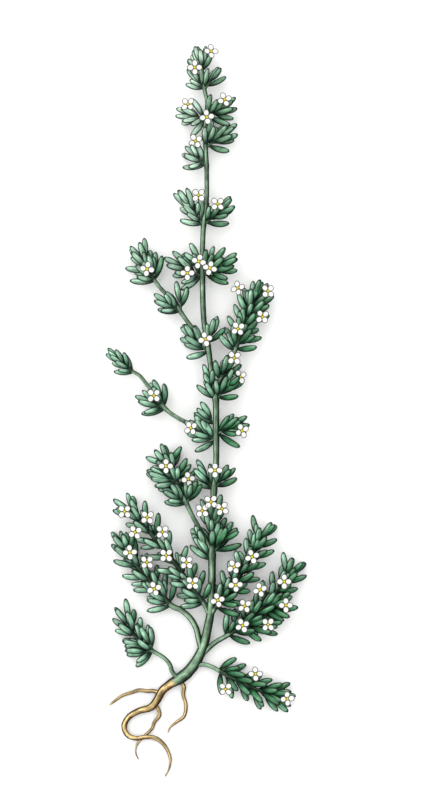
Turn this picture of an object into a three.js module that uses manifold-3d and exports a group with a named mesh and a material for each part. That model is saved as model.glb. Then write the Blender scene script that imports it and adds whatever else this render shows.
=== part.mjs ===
// A whole saltwort plant, pulled up with its root and laid flat on a surface: a jointed main stem with
// opposite tufts of fleshy leaves, ten leafy branches, white four-petalled blooms and a tan taproot.
// Millimetres, +Z up. The plant lies along Y with its top at +Y, and Z = 0 is the surface under it.

import * as THREE from 'three';
import { mergeVertices } from 'three/addons/utils/BufferGeometryUtils.js';
import Module from 'manifold-3d';

const wasm = await Module();
wasm.setup();

// Real sizes, in millimetres.
const LEAF_LENGTH = 14;
const LEAF_HALF_WIDTH = 2.0;
const LEAF_HALF_THICKNESS = 1.1;
const LEAF_NECK = 0.25;
const LEAF_BELLY = 0.52;
const BLOOM_RADIUS = 4.6;
const BLOOM_DEPTH = 1.0;
const BLOOM_LIFT = 7.0;
const LEAN_RATE = 2.4;
const MOST_LEAN = 28;
const PEDICEL_RADIUS = 0.5;
const CALYX_RADIUS = 0.95;
const CALYX_DROP = 3.1;
const SHOOT_RADIUS = 0.9;
const SHOOT_RISE = 1.5;
const GAP = 0.35;

// One pixel of the photograph stands for this length, and this pixel of it lies over the origin.
const MM_PER_PX = 0.6;
const OVER_ORIGIN_PX = [206.4, 411.7];

// How leaves stand on a shoot: turned to one side and the other, those nearer the middle raised more,
// and every fifth one lowered, to prop the plant off the surface.
const SIDES = [1, -1, 0.4, -0.4];
const OUTER_TILT = 5;
const MIDDLE_TILT = 26;
const PROP_TILT = -32;
const PROP_EVERY = 5;
const LEAF_SWAY = 0.035;
const TUFT_NARROWING = 0.8;
const SPRAY_NARROWING = 0.45;
// A leaf starts inside its stem, this share of the radius off the axis on the side where it comes out.
const ROOT_SHARE = 0.2;
// A leaf that would cross what is already there is turned or tilted by the first of these that clears it.
// It is tested at its stations, and from the free one on it also keeps off its own stem's leaves.
const TRY_TURNS = [0, 8, -8, 16, -16, 26, -26];
const TRY_TILTS = [0, 10, -10, 20, -20];
const TRY_LENGTHS = [1, 0.82];
const LEAF_STATIONS = [0.15, 0.35, 0.55, 0.75, 0.92];
const STALK_STATIONS = [0.3, 0.5, 0.7, 0.9];
const SHOOT_STATIONS = [0.3, 0.55, 0.8];
const FREE_STATION = 1;

// How finely the shapes are drawn: steps in a span of a stem, sides, and where a leaf's edges have corners.
const STEPS = 4;
const MAIN_SIDES = 6;
const BRANCH_SIDES = 5;
const SHOOT_SIDES = 3;
const LEAF_RINGS = [0.42, 0.84];
const PETAL_CORNERS = [-105, -38, 38, 105];

// Each stem's route is a list of points: u and v in the photograph's pixels, then the height of the
// axis above the surface and the stem's radius, both in millimetres.
// A spray covers the stretch of the route between two pixels: u, v, u, v, leaves, spread in degrees, size.
// A tuft has a short shoot of its own between two pixels, and the same values after them.
// A bloom is u, v, the turn of its petals in degrees, and its lift over the axis where that differs.
const PLANT = {
  main_stem: {
    route: [
      [187, 674, 2.6, 3.4], [193, 667, 2.6, 3.3], [199, 657, 3.2, 3.0], [204, 645, 4.3, 2.75],
      [208, 627, 5.5, 2.55], [210.5, 612, 6.3, 2.4], [212, 582, 7.4, 2.25], [212, 555, 8.0, 2.15],
      [212.5, 525, 8.4, 2.0], [214, 490, 8.5, 1.9], [216.3, 461, 8.5, 1.75], [216, 434, 8.5, 1.85],
      [215.8, 400, 8.5, 1.85], [211.5, 372, 8.5, 1.65], [208, 346, 8.5, 1.6], [203.8, 319, 8.4, 1.65],
      [202.6, 284, 8.4, 1.65], [202.5, 253, 8.2, 1.55], [203.6, 225, 8.0, 1.5], [206.6, 200, 7.8, 1.4],
      [206.6, 165, 7.6, 1.35], [205, 130, 7.4, 1.25], [207.5, 105, 7.3, 1.2], [204.5, 89, 7.0, 1.1],
      [202.5, 72, 7.0, 1.0], [200.5, 60, 7.2, 0.7],
    ],
    sprays: [
      [202.5, 73, 200.5, 62, 7, 42, 0.9],
      [212, 553, 213, 512, 12, 50, 1.05],
    ],
    tufts: [
      [204.5, 89.5, 199, 82, 4, 44, 0.85], [204.7, 89.5, 211.5, 80, 4, 34, 0.85],
      [205.5, 119, 194.5, 116.5, 6, 64, 0.95], [207, 119, 219, 110.5, 7, 58, 0.95],
      [206, 150, 220, 138, 7, 54, 1], [206.5, 148, 208.5, 139, 3, 30, 0.9],
      [206.8, 164, 197, 158.5, 5, 50, 0.95],
      [204, 225, 189, 206, 8, 46, 1], [204.2, 225.5, 218, 213, 7, 50, 1],
      [201.8, 280, 183, 268, 8, 62, 1.02], [202.2, 280, 221, 266, 8, 62, 1.02],
      [202, 272, 197.5, 261, 2, 26, 1], [202.2, 273, 211, 261, 2, 26, 1],
      [208.3, 350, 194.5, 339, 7, 58, 1], [208.2, 346, 211.5, 335, 4, 40, 0.95],
      [216, 397, 210, 385, 4, 36, 0.95], [216.3, 399, 228, 386, 8, 50, 0.95],
      [216, 438, 204, 432, 7, 64, 1], [216, 427, 210, 418.5, 2, 22, 1], [216, 436, 229, 429, 8, 64, 1],
      [214, 489, 207, 480, 4, 38, 1], [214, 489, 221.5, 480, 4, 40, 1],
      [212, 559, 202, 542, 5, 32, 1.05], [212, 555, 224, 539, 5, 46, 1.05],
    ],
    blooms: [
      [211, 52, 0, 4.5], [195, 68.5, 0], [188, 105.5, 45], [224.5, 101, 20], [207, 118, 10],
      [195.7, 141.5, 30, 4.5], [198.7, 196, 45], [217.5, 205, 45], [187.5, 273.5, 0],
      [205.4, 339.4, 15], [191.2, 428, 35], [241.6, 430.6, 25],
      [215, 470, 0],
    ],
    clusters: [
      [[198.8, 262, -15], [209.8, 268.6, -15]],
      [[211, 501.5, 50], [202.3, 510.3, 48], [222, 508.3, 57]],
    ],
  },
  upper_left_branch: {
    route: [
      [207.5, 345, 8.4, 1.3], [200, 335, 8.4, 1.3], [191, 326, 8.0, 1.3], [182.5, 314.5, 7.4, 1.25],
      [176, 305, 7.2, 1.2], [169, 297, 7.0, 1.2], [160, 287.5, 7.0, 1.15], [154, 279, 7.0, 1.1],
      [147.5, 268, 7.2, 1], [141, 257.5, 7.4, 0.8],
    ],
    sprays: [[156, 282, 142, 260, 15, 54, 1]],
    tufts: [[180.5, 311.5, 171, 306, 4, 34, 0.95], [180, 311, 180.5, 302, 3, 32, 0.95]],
    blooms: [[147.3, 269.5, -10]],
  },
  middle_left_branch: {
    route: [
      [214.5, 432.5, 8.4, 1.35], [203, 428.5, 8.2, 1.35], [190, 424, 7.6, 1.35], [177, 417.5, 7.0, 1.3],
      [166, 409.5, 6.8, 1.3], [157, 398, 6.6, 1.2], [148, 386, 6.4, 1.15], [140, 376, 6.4, 1.1],
      [133, 371.5, 6.4, 1.05], [125, 365.5, 6.6, 0.9], [116, 358, 6.8, 0.7],
    ],
    sprays: [[134, 372, 117.5, 359, 8, 32, 0.8]],
    tufts: [[166, 409.5, 154, 403.5, 5, 38, 0.98], [166, 409.5, 159.5, 397, 5, 34, 0.98]],
    blooms: [[154, 395.6, 45]],
  },
  upper_right_branch: {
    route: [
      [215, 391, 8.3, 1.4], [219.5, 381, 8.0, 1.4], [227.5, 367, 8.0, 1.4], [234.5, 352, 8.4, 1.35],
      [241, 335, 8.8, 1.3], [249, 315, 9.0, 1.15], [254, 302, 9.0, 1], [256, 295, 9.0, 0.8],
    ],
    sprays: [[235, 351, 255.5, 300, 27, 66, 0.98]],
    tufts: [[220, 381, 223.5, 373, 4, 44, 1]],
    blooms: [
      [238, 288.5, 15, 4.5], [267.6, 291.6, 45, 5], [262, 317, 40], [238, 329, 35], [234.2, 358, 40],
      [239.7, 376.7, 30, 2.5],
    ],
  },
  lower_left_branch: {
    route: [
      [212, 552, 7.9, 1.4], [205, 538, 8.4, 1.4], [198, 526, 8.6, 1.4], [192, 515, 8.4, 1.35],
      [187, 504.5, 8.2, 1.35], [180.5, 491, 8.0, 1.25], [174, 475, 7.8, 1.15], [168, 464, 7.6, 1],
      [165, 458, 7.6, 0.8],
    ],
    sprays: [[180.5, 491, 167, 463, 14, 70, 0.98]],
    tufts: [
      [186.5, 504, 178, 498, 4, 36, 0.95], [186.5, 504, 189.5, 496, 4, 34, 0.95],
      [176.5, 481, 165.5, 477.5, 5, 34, 1.02],
    ],
    blooms: [[166.2, 465.8, 0], [188.2, 479, 10, 4.5]],
  },
  inner_left_branch: {
    route: [
      [209.8, 616, 6.0, 1.6], [204.5, 604, 7.2, 1.6], [197, 594, 8.4, 1.55], [188, 582, 9.4, 1.5],
      [176, 564.5, 9.8, 1.45], [161, 546, 9.8, 1.35], [147, 529, 9.6, 1.2], [135.5, 515.5, 9.2, 1.05],
      [127, 506.5, 9.0, 0.8],
    ],
    sprays: [[204.5, 604, 130, 511, 31, 66, 0.98]],
    tufts: [],
    blooms: [
      [125, 511, 45], [147.4, 517, 40, 6], [135.6, 531.5, 30], [162.4, 531.4, 45, 6], [166.4, 554.6, 45],
      [186.4, 562, 45, 6], [192.6, 582.3, 45],
    ],
  },
  outer_left_branch: {
    route: [
      [201.5, 652, 3.9, 1.8], [198.8, 640, 4.6, 1.8], [196.2, 629, 5.0, 1.75], [190.3, 618.7, 5.2, 1.7],
      [181.5, 610.8, 5.4, 1.65], [172, 606.3, 5.6, 1.6], [163.5, 597, 5.8, 1.5], [154, 586, 6.0, 1.4],
      [142, 572, 6.0, 1.25], [131, 559, 6.0, 1.1], [126.5, 549, 6.0, 0.95], [124, 541, 6.2, 0.8],
    ],
    sprays: [[172, 606, 125.5, 546.5, 25, 58, 0.98]],
    tufts: [],
    blooms: [[130, 552, 5], [147, 562, 45], [154.5, 588.3, 20]],
  },
  base_left_branch: {
    route: [
      [179, 680, 3.0, 1.3], [172.3, 673, 3.2, 1.3], [170, 666, 3.4, 1.25], [165, 659.5, 3.6, 1.2],
      [156, 653.7, 3.8, 1.2], [150, 650.5, 4.2, 1.15], [142, 644.5, 4.6, 1.1], [134, 635, 4.8, 1],
      [129.5, 626, 5.0, 0.9], [126, 617.5, 5.0, 0.7],
    ],
    sprays: [[149, 650, 128, 622.5, 12, 54, 0.98]],
    tufts: [[152, 652.5, 144, 652.5, 4, 44, 1], [153, 652.5, 150, 644, 3, 34, 1]],
    blooms: [],
  },
  inner_right_branch: {
    route: [
      [209, 621, 5.8, 1.5], [214, 610, 7.2, 1.5], [222, 600, 8.2, 1.45], [232, 587, 8.8, 1.4],
      [241.5, 573, 9.0, 1.3], [250.5, 559, 9.0, 1.2], [257, 545, 9.0, 1.05], [262, 532, 9.0, 0.8],
    ],
    sprays: [[213, 611, 261.5, 535, 30, 66, 0.98]],
    tufts: [],
    blooms: [[252, 556, 20], [234, 566.2, 30], [235.5, 584, 5], [217.7, 599.5, 15]],
  },
  outer_right_branch: {
    route: [
      [197, 660, 3.4, 1.6], [204, 653.5, 3.6, 1.6], [210, 647.5, 3.8, 1.6], [217, 642, 4.0, 1.55],
      [225, 637.5, 4.4, 1.5], [236, 630.5, 5.0, 1.45], [249, 621.5, 5.8, 1.4], [260, 611, 6.4, 1.3],
      [270.5, 600, 6.8, 1.2], [280, 588, 7.0, 1.1], [287.5, 577, 7.0, 0.95], [292, 568, 7.0, 0.8],
    ],
    sprays: [[226, 637, 290.5, 572.5, 30, 58, 0.98]],
    tufts: [[238, 629, 260, 627, 7, 50, 1], [261, 610, 279, 607, 6, 48, 1]],
    blooms: [
      [260, 589.3, 20], [284, 581, 0], [244.8, 605.5, 35], [285.4, 604.6, 0], [242.4, 625, 25],
      [267.6, 624, 45],
    ],
  },
  base_right_branch: {
    route: [
      [190.5, 670.5, 3.0, 1.4], [196.5, 666.5, 3.0, 1.4], [204, 665.5, 3.2, 1.4], [212.5, 668, 3.6, 1.35],
      [220, 672, 4.2, 1.35], [231, 678, 5.0, 1.3], [244, 684.5, 5.6, 1.25], [259, 691, 5.8, 1.1],
      [269, 694.5, 5.8, 0.95], [277, 696.3, 5.8, 0.8],
    ],
    sprays: [[217.5, 670.8, 275, 695.8, 23, 60, 0.98]],
    tufts: [],
    blooms: [[255.2, 673.4, 0], [225.6, 688.3, 45], [287, 698.2, 5, 5.5]],
  },
};

// The taproot's main run starts inside the collar under the stem, and its rootlets grow from it.
const ROOT = {
  taproot: [
    [186.6, 674.4, 2.6, 3.4], [179, 680, 2.6, 3.25], [170, 685.5, 2.4, 2.75], [162, 692, 2.3, 2.45],
    [157, 701.3, 2.3, 2.25], [150.3, 708.8, 2.2, 2.15], [138.5, 712.5, 2.0, 1.9], [129, 718, 1.9, 1.65],
    [123.8, 727.3, 1.8, 1.6], [127.2, 736.2, 1.9, 1.55], [135.5, 739.6, 2.3, 1.35], [145, 738.4, 2.7, 1.25],
    [154.3, 739.3, 2.2, 1.25], [162.8, 745.2, 1.5, 1.15], [168.2, 754, 1.1, 0.95], [170.2, 762.2, 0.9, 0.75],
    [168.8, 771, 0.8, 0.5], [165, 778, 0.8, 0.4],
  ],
  left_rootlet: [
    [160.5, 694, 2.0, 1.1], [153, 692, 1.6, 1.1], [146.6, 692.4, 1.4, 1.05], [139, 691.6, 1.3, 1.05],
    [131.3, 693.9, 1.2, 1], [122, 697, 1.1, 0.9], [115.3, 701.6, 1.0, 0.8], [109.1, 706.5, 0.9, 0.45],
  ],
  right_rootlet: [
    [177, 681, 2.2, 1.25], [183.5, 687.5, 1.8, 1.15], [183, 696, 1.4, 1.1], [185.7, 706.9, 1.3, 1.05],
    [184, 717.7, 1.1, 0.95], [177.3, 723, 1.0, 0.8], [170.4, 728.4, 0.8, 0.55], [167.6, 734, 0.7, 0.4],
  ],
  middle_rootlet: [
    [156, 706, 2.0, 1.05], [159.4, 716, 1.5, 1.05], [154, 724, 1.1, 0.95], [152, 730, 0.9, 0.85],
    [146.6, 735.3, 0.8, 0.8], [139.7, 742.2, 0.8, 0.75], [135.9, 748.3, 0.7, 0.55], [135.5, 755.2, 0.7, 0.45],
    [138, 761, 0.6, 0.35],
  ],
};

// Colours from the photograph.
const STEM_GREEN = new THREE.MeshStandardMaterial({ color: 0x6f9f84, roughness: 0.55, metalness: 0 });
const PETAL_WHITE = new THREE.MeshStandardMaterial({ color: 0xf6f5ee, roughness: 0.6, metalness: 0 });
const ROOT_TAN = new THREE.MeshStandardMaterial({ color: 0xd9b678, roughness: 0.8, metalness: 0 });

// Numbers from 0 to 1 that are the same on every run.
function drawsFrom(seed) {
  let state = seed;
  return () => {
    state = (state * 16807) % 2147483647;
    return state / 2147483647;
  };
}

const radians = (degrees) => (degrees * Math.PI) / 180;

function fromPixel([u, v]) {
  return [(u - OVER_ORIGIN_PX[0]) * MM_PER_PX, (OVER_ORIGIN_PX[1] - v) * MM_PER_PX];
}

// A route's line, as [x, y, z, radius] every 1/steps of each of its spans.
function lineAlong(route, steps) {
  const points = route.map(([u, v, z, radius]) => [...fromPixel([u, v]), z, radius]);
  const line = [];
  for (let i = 0; i < points.length - 1; i++) {
    for (let k = 0; k < steps; k++) {
      line.push(points[i].map((value, n) => value + ((points[i + 1][n] - value) * k) / steps));
    }
  }
  line.push(points[points.length - 1]);
  return line;
}

// Points along a tuft's shoot, from near its foot to its end.
function alongShoot([foot, end]) {
  return SHOOT_STATIONS.map((share) => foot.map((value, n) => value + (end[n] - value) * share));
}

// The place of the line's point nearest to [x, y], as an index.
function nearestIndex(line, [x, y]) {
  let best = 0;
  line.forEach((p, i) => {
    if (Math.hypot(p[0] - x, p[1] - y) < Math.hypot(line[best][0] - x, line[best][1] - y)) best = i;
  });
  return best;
}

// The point, the radius and the heading in plan at a share of the stretch between two indices of the line.
function placeOn(line, from, to, share) {
  const at = from + (to - from) * share;
  const i = Math.min(Math.floor(at), line.length - 2);
  const [a, b] = [line[i], line[i + 1]];
  const [x, y, z, radius] = a.map((value, n) => value + (b[n] - value) * (at - i));
  return { point: [x, y, z], radius, heading: Math.atan2(b[1] - a[1], b[0] - a[0]) };
}

// A leaf's width at a share of its length, as a share of the widest: narrow at the root, blunt at the tip.
function leafFullness(s) {
  const swell = Math.sin((Math.PI / 2) * Math.min(s / LEAF_BELLY, 1)) ** 0.9;
  const past = Math.max(0, (s - LEAF_BELLY) / (1 - LEAF_BELLY));
  return (LEAF_NECK + (1 - LEAF_NECK) * swell) * Math.sqrt(Math.max(0, 1 - past ** 2.6));
}

// A point of the leaf's middle line, kept above the surface that the plant lies on.
function leafPoint(leaf, s) {
  const { point, turn, tilt, length, sway } = leaf;
  const heading = leaf.heading + turn;
  const off = ROOT_SHARE * leaf.radius / Math.hypot(Math.cos(tilt) * Math.sin(turn), Math.sin(tilt));
  const aside = off * Math.cos(tilt) * Math.sin(turn);
  const along = length * s * Math.cos(tilt);
  const bend = length * sway * 4 * s * (1 - s);
  const x = point[0] - aside * Math.sin(leaf.heading) + along * Math.cos(heading) - bend * Math.sin(heading);
  const y = point[1] + aside * Math.cos(leaf.heading) + along * Math.sin(heading) + bend * Math.cos(heading);
  const z = point[2] + off * Math.sin(tilt) + length * s * Math.sin(tilt);
  return [x, y, Math.max(z, LEAF_HALF_THICKNESS * leaf.size * leafFullness(s))];
}

function leafMarks(leaf) {
  return LEAF_STATIONS.map((s, k) => {
    const full = leafFullness(s) * leaf.size;
    return {
      at: leafPoint(leaf, s), wide: LEAF_HALF_WIDTH * full, thick: LEAF_HALF_THICKNESS * full,
      owner: leaf.owner, kind: 'leaf', free: k >= FREE_STATION,
    };
  });
}

function clearOf(a, b, gap) {
  const across = Math.hypot(a.at[0] - b.at[0], a.at[1] - b.at[1]) / (a.wide + b.wide + gap);
  const upright = (a.at[2] - b.at[2]) / (a.thick + b.thick + gap);
  return across * across + upright * upright >= 1;
}

// Whether a leaf stays out of the other stems and leaves, and whether it also misses its own stem's leaves.
function leafFits(marks, taken) {
  let neat = true;
  for (const mark of marks) {
    for (const other of taken) {
      if (other.owner !== mark.owner || other.kind === 'bloom') {
        if (!clearOf(mark, other, GAP)) return 'crosses';
      } else if (other.kind === 'leaf' && mark.free && other.free && !clearOf(mark, other, 0)) neat = false;
    }
  }
  return neat ? 'neat' : 'touches';
}

function placeLeaf(home, taken) {
  let fallback = null;
  for (const share of TRY_LENGTHS) {
    for (const turn of TRY_TURNS) {
      for (const tilt of TRY_TILTS) {
        const leaf = {
          ...home,
          turn: home.turn + radians(turn),
          tilt: home.tilt + radians(tilt),
          length: home.length * share,
        };
        const marks = leafMarks(leaf);
        const fit = leafFits(marks, taken);
        if (fit === 'neat') {
          taken.push(...marks);
          return leaf;
        }
        if (fit === 'touches' && !fallback) fallback = { leaf, marks };
      }
    }
  }
  if (!fallback) return null;
  taken.push(...fallback.marks);
  return fallback.leaf;
}

// Leaves along a stretch of a line, alternating from side to side and drawing together towards its end.
function growLeaves(owner, line, from, to, count, spread, size, narrowing, draw, taken) {
  const leaves = [];
  for (let i = 0; i < count; i++) {
    const share = (i + 0.5) / count;
    const { point, radius, heading } = placeOn(line, from, to, share);
    const side = SIDES[i % SIDES.length];
    const raised = MIDDLE_TILT + (OUTER_TILT - MIDDLE_TILT) * Math.abs(side);
    const tilt = (i % PROP_EVERY === PROP_EVERY - 1 ? PROP_TILT : raised) + 10 * (draw() - 0.5);
    const turn = side * spread * (1 - narrowing * share) + 10 * (draw() - 0.5);
    const length = LEAF_LENGTH * size * (0.92 + 0.18 * draw());
    const leaf = placeLeaf({
      owner,
      point,
      radius,
      heading,
      turn: radians(turn),
      tilt: radians(tilt),
      size,
      length,
      sway: LEAF_SWAY * side,
    }, taken);
    if (leaf) leaves.push(leaf);
  }
  return leaves;
}

// A bloom grows from the nearest of the places, faces up and leans away, by leanRate degrees a millimetre.
function bloomAt(owner, places, [u, v, spin, lift = BLOOM_LIFT], leanRate) {
  const [x, y] = fromPixel([u, v]);
  const foot = places[nearestIndex(places, [x, y])];
  const off = Math.hypot(x - foot[0], y - foot[1]);
  const lean = radians(Math.min(MOST_LEAN, leanRate * off));
  const away = Math.atan2(y - foot[1], x - foot[0]);
  const normal = new THREE.Vector3(
    Math.sin(lean) * Math.cos(away), Math.sin(lean) * Math.sin(away), Math.cos(lean));
  const right = new THREE.Vector3(0, 1, 0).cross(normal).normalize();
  const up = normal.clone().cross(right);
  return {
    owner,
    centre: new THREE.Vector3(x, y, foot[2] + lift),
    foot: new THREE.Vector3(foot[0], foot[1], foot[2]),
    normal,
    right,
    up,
    spin: radians(spin),
  };
}

function onBloom(bloom, angle, radius, height) {
  return bloom.centre.clone()
    .addScaledVector(bloom.right, radius * Math.cos(angle))
    .addScaledVector(bloom.up, radius * Math.sin(angle))
    .addScaledVector(bloom.normal, height);
}

// What a bloom takes up: its middle, its petals and its stalk, which its own stem's leaves may touch.
function bloomMarks(bloom) {
  const { owner, centre, foot } = bloom;
  const marks = [{ at: centre.toArray(), wide: 1.4, thick: 0.9, owner, kind: 'bloom' }];
  for (let k = 0; k < 4; k++) {
    const middle = onBloom(bloom, bloom.spin + (k * Math.PI) / 2, 0.6 * BLOOM_RADIUS, 0);
    marks.push({ at: middle.toArray(), wide: 0.42 * BLOOM_RADIUS, thick: 0.8, owner, kind: 'bloom' });
  }
  for (const share of STALK_STATIONS) {
    const at = foot.clone().lerp(onBloom(bloom, 0, 0, -CALYX_DROP), share).toArray();
    marks.push({ at, wide: CALYX_RADIUS, thick: CALYX_RADIUS, owner, kind: 'stem' });
  }
  return marks;
}

// Closed geometry from rings of points, all with one count: side walls, and a cap or a point at each end.
function skin(rings) {
  const count = Math.max(...rings.map((ring) => ring.length));
  const positions = rings.flat().flatMap((p) => [p.x, p.y, p.z]);
  const index = [];
  let start = 0;
  rings.slice(0, -1).forEach((ring, r) => {
    const next = start + ring.length;
    for (let k = 0; k < count; k++) {
      const l = (k + 1) % count;
      if (ring.length === 1) index.push(start, next + l, next + k);
      else if (rings[r + 1].length === 1) index.push(start + k, start + l, next);
      else index.push(start + k, start + l, next + l, start + k, next + l, next + k);
    }
    start = next;
  });
  for (let k = 1; k < count - 1; k++) {
    if (rings[0].length > 1) index.push(0, k + 1, k);
    if (rings[rings.length - 1].length > 1) index.push(start, start + k, start + k + 1);
  }
  const geometry = new THREE.BufferGeometry();
  geometry.setAttribute('position', new THREE.Float32BufferAttribute(positions, 3));
  geometry.setIndex(index);
  return geometry;
}

function solid(geometry) {
  const merged = mergeVertices(geometry, 1e-4);
  return new wasm.Manifold(new wasm.Mesh({
    numProp: 3,
    vertProperties: new Float32Array(merged.attributes.position.array),
    triVerts: new Uint32Array(merged.index.array),
  }));
}

// A tapering stem along a line of [x, y, z, radius], with a flat side down. extra swells it for a cut.
function stemSolid(line, sides, extra = 0) {
  const last = line.length - 1;
  const rings = line.map((p, i) => {
    const before = new THREE.Vector3(...line[Math.max(i - 1, 0)]);
    const after = new THREE.Vector3(...line[Math.min(i + 1, last)]);
    const ahead = after.sub(before).normalize();
    const side = new THREE.Vector3(0, 0, 1).cross(ahead).normalize();
    const up = ahead.clone().cross(side);
    const end = (i === last) - (i === 0);
    const ring = [];
    for (let k = 0; k < sides; k++) {
      const angle = (Math.PI * (2 * k + 1)) / sides - Math.PI / 2;
      ring.push(new THREE.Vector3(p[0], p[1], p[2])
        .addScaledVector(ahead, end * extra)
        .addScaledVector(side, (p[3] + extra) * Math.cos(angle))
        .addScaledVector(up, (p[3] + extra) * Math.sin(angle)));
    }
    return ring;
  });
  return solid(skin(rings));
}

// A fleshy leaf: a three-edged blade with a rounded back, which swells towards its blunt tip.
function leafSolid(leaf) {
  const heading = leaf.heading + leaf.turn;
  const side = new THREE.Vector3(-Math.sin(heading), Math.cos(heading), 0);
  const near = new THREE.Vector3(...leafPoint(leaf, 0.2));
  const ahead = new THREE.Vector3(...leafPoint(leaf, 0.8)).sub(near).normalize();
  const up = ahead.clone().cross(side);
  const rings = LEAF_RINGS.map((s) => {
    const middle = new THREE.Vector3(...leafPoint(leaf, s));
    const wide = LEAF_HALF_WIDTH * leafFullness(s) * leaf.size;
    const thick = LEAF_HALF_THICKNESS * leafFullness(s) * leaf.size;
    return [
      middle.clone().addScaledVector(side, wide).addScaledVector(up, -0.7 * thick),
      middle.clone().addScaledVector(up, thick),
      middle.clone().addScaledVector(side, -wide).addScaledVector(up, -0.7 * thick),
    ];
  });
  const [start, tip] = [0, 1].map((s) => [new THREE.Vector3(...leafPoint(leaf, s))]);
  return solid(skin([start, ...rings, tip]));
}

// Four rounded petals round a low dome, drawn from one closed outline. extra swells it for a cut.
function bloomSolid(bloom, extra = 0) {
  const reach = BLOOM_RADIUS + extra;
  const outline = [];
  const ring = [];
  for (let k = 0; k < 4; k++) {
    const turn = bloom.spin + (k * Math.PI) / 2;
    ring.push(onBloom(bloom, turn - Math.PI / 4, 0.2 * reach, 0.35 + extra));
    outline.push(onBloom(bloom, turn - Math.PI / 4, 0.27 * reach, 0.1));
    for (const around of PETAL_CORNERS) {
      const x = reach * (0.54 + 0.46 * Math.cos(radians(around)));
      const y = reach * 0.37 * Math.sin(radians(around));
      outline.push(onBloom(bloom, turn + Math.atan2(y, x), Math.hypot(x, y), 0.2));
    }
  }
  const top = onBloom(bloom, 0, 0, 1.0 + extra);
  const bottom = onBloom(bloom, 0, 0, -BLOOM_DEPTH - extra);
  const points = [top, bottom, ...ring, ...outline];
  const onRing = (k) => 2 + (k % 4);
  const onEdge = (k) => 6 + (k % outline.length);
  const index = [];
  for (let k = 0; k < 4; k++) {
    const [q, r, p] = [onRing(k), onRing(k + 1), (PETAL_CORNERS.length + 1) * k];
    for (const j of [0, 1, 2]) index.push(q, onEdge(p + j), onEdge(p + j + 1));
    index.push(q, onEdge(p + 3), r, q, r, 0);
    for (let j = 3; j <= PETAL_CORNERS.length; j++) index.push(r, onEdge(p + j), onEdge(p + j + 1));
  }
  for (let k = 0; k < outline.length; k++) index.push(1, onEdge(k + 1), onEdge(k));
  const geometry = new THREE.BufferGeometry();
  const positions = points.flatMap((p) => [p.x, p.y, p.z]);
  geometry.setAttribute('position', new THREE.Float32BufferAttribute(positions, 3));
  geometry.setIndex(index);
  return solid(geometry);
}

// The green stalk of a bloom, from the stem's axis to the calyx just under the petals.
function pedicelSolid(bloom) {
  const top = onBloom(bloom, 0, 0, -BLOOM_DEPTH - GAP);
  const neck = onBloom(bloom, 0, 0, -CALYX_DROP);
  const ahead = neck.clone().sub(bloom.foot).normalize();
  const side = new THREE.Vector3(0.3, 1, 0.1).cross(ahead).normalize();
  const front = ahead.clone().cross(side);
  const ringAt = (middle, radius) => [0, 1, 2].map((k) => middle.clone()
    .addScaledVector(side, radius * Math.cos((2 * k * Math.PI) / 3))
    .addScaledVector(front, radius * Math.sin((2 * k * Math.PI) / 3)));
  return solid(skin([[bloom.foot], ringAt(neck, PEDICEL_RADIUS), ringAt(top, CALYX_RADIUS)]));
}

const largest = (made) => made.decompose().sort((a, b) => b.volume() - a.volume())[0];

function meshOf(made, name, material) {
  const { vertProperties, triVerts, numProp } = made.getMesh();
  const positions = new Float32Array((vertProperties.length / numProp) * 3);
  for (let i = 0; i < positions.length / 3; i++) {
    positions.set(vertProperties.subarray(i * numProp, i * numProp + 3), i * 3);
  }
  const geometry = new THREE.BufferGeometry();
  geometry.setAttribute('position', new THREE.BufferAttribute(positions, 3));
  geometry.setIndex(new THREE.BufferAttribute(new Uint32Array(triVerts), 1));
  geometry.computeVertexNormals();
  const mesh = new THREE.Mesh(geometry, material);
  mesh.name = name;
  return mesh;
}

// The stems, shoots and blooms take their places first, and the leaves then keep clear of them.
const taken = [];
const plan = Object.entries(PLANT).map(([name, part], order) => {
  const line = lineAlong(part.route, STEPS);
  const tufts = part.tufts.map(([u, v, toU, toV]) => {
    const foot = line[nearestIndex(line, fromPixel([u, v]))];
    const end = fromPixel([toU, toV]);
    return [
      [foot[0], foot[1], foot[2], SHOOT_RADIUS],
      [end[0], end[1], foot[2] + SHOOT_RISE, 0.5 * SHOOT_RADIUS],
    ];
  });
  const places = [...line.slice(0, -1), ...tufts.flatMap(alongShoot)];
  const single = part.blooms.map((row) => [bloomAt(name, places, row, LEAN_RATE)]);
  const joined = (part.clusters ?? []).map((rows) => rows.map((row) => bloomAt(name, line, row, 0)));
  const heads = [...single, ...joined];
  for (const p of [line, ...tufts].flat()) {
    taken.push({ at: p.slice(0, 3), wide: p[3], thick: p[3], owner: name, kind: 'stem' });
  }
  for (const bloom of heads.flat()) taken.push(...bloomMarks(bloom));
  return { name, part, line, tufts, heads, draw: drawsFrom(4001 + 97 * order) };
});

for (const entry of plan) {
  const { name, part, line, tufts, draw } = entry;
  entry.leaves = [];
  part.tufts.forEach(([, , , , count, spread, size], k) => {
    entry.leaves.push(...growLeaves(name, tufts[k], 0, 1, count, spread, size, TUFT_NARROWING, draw, taken));
  });
  part.sprays.forEach(([u, v, toU, toV, count, spread, size]) => {
    const from = nearestIndex(line, fromPixel([u, v]));
    const to = nearestIndex(line, fromPixel([toU, toV]));
    entry.leaves.push(...growLeaves(name, line, from, to, count, spread, size, SPRAY_NARROWING, draw, taken));
  });
}

const plant = new THREE.Group();
const rootLines = Object.values(ROOT).map((route) => lineAlong(route, 1));
const mainCut = stemSolid(lineAlong(PLANT.main_stem.route, 1), MAIN_SIDES, GAP);
const rootSolid = wasm.Manifold.union(rootLines.map((line, k) => stemSolid(line, k ? 4 : MAIN_SIDES)))
  .subtract(mainCut).trimByPlane([0, 0, 1], 0);
plant.add(meshOf(largest(rootSolid), 'taproot', ROOT_TAN));

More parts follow.
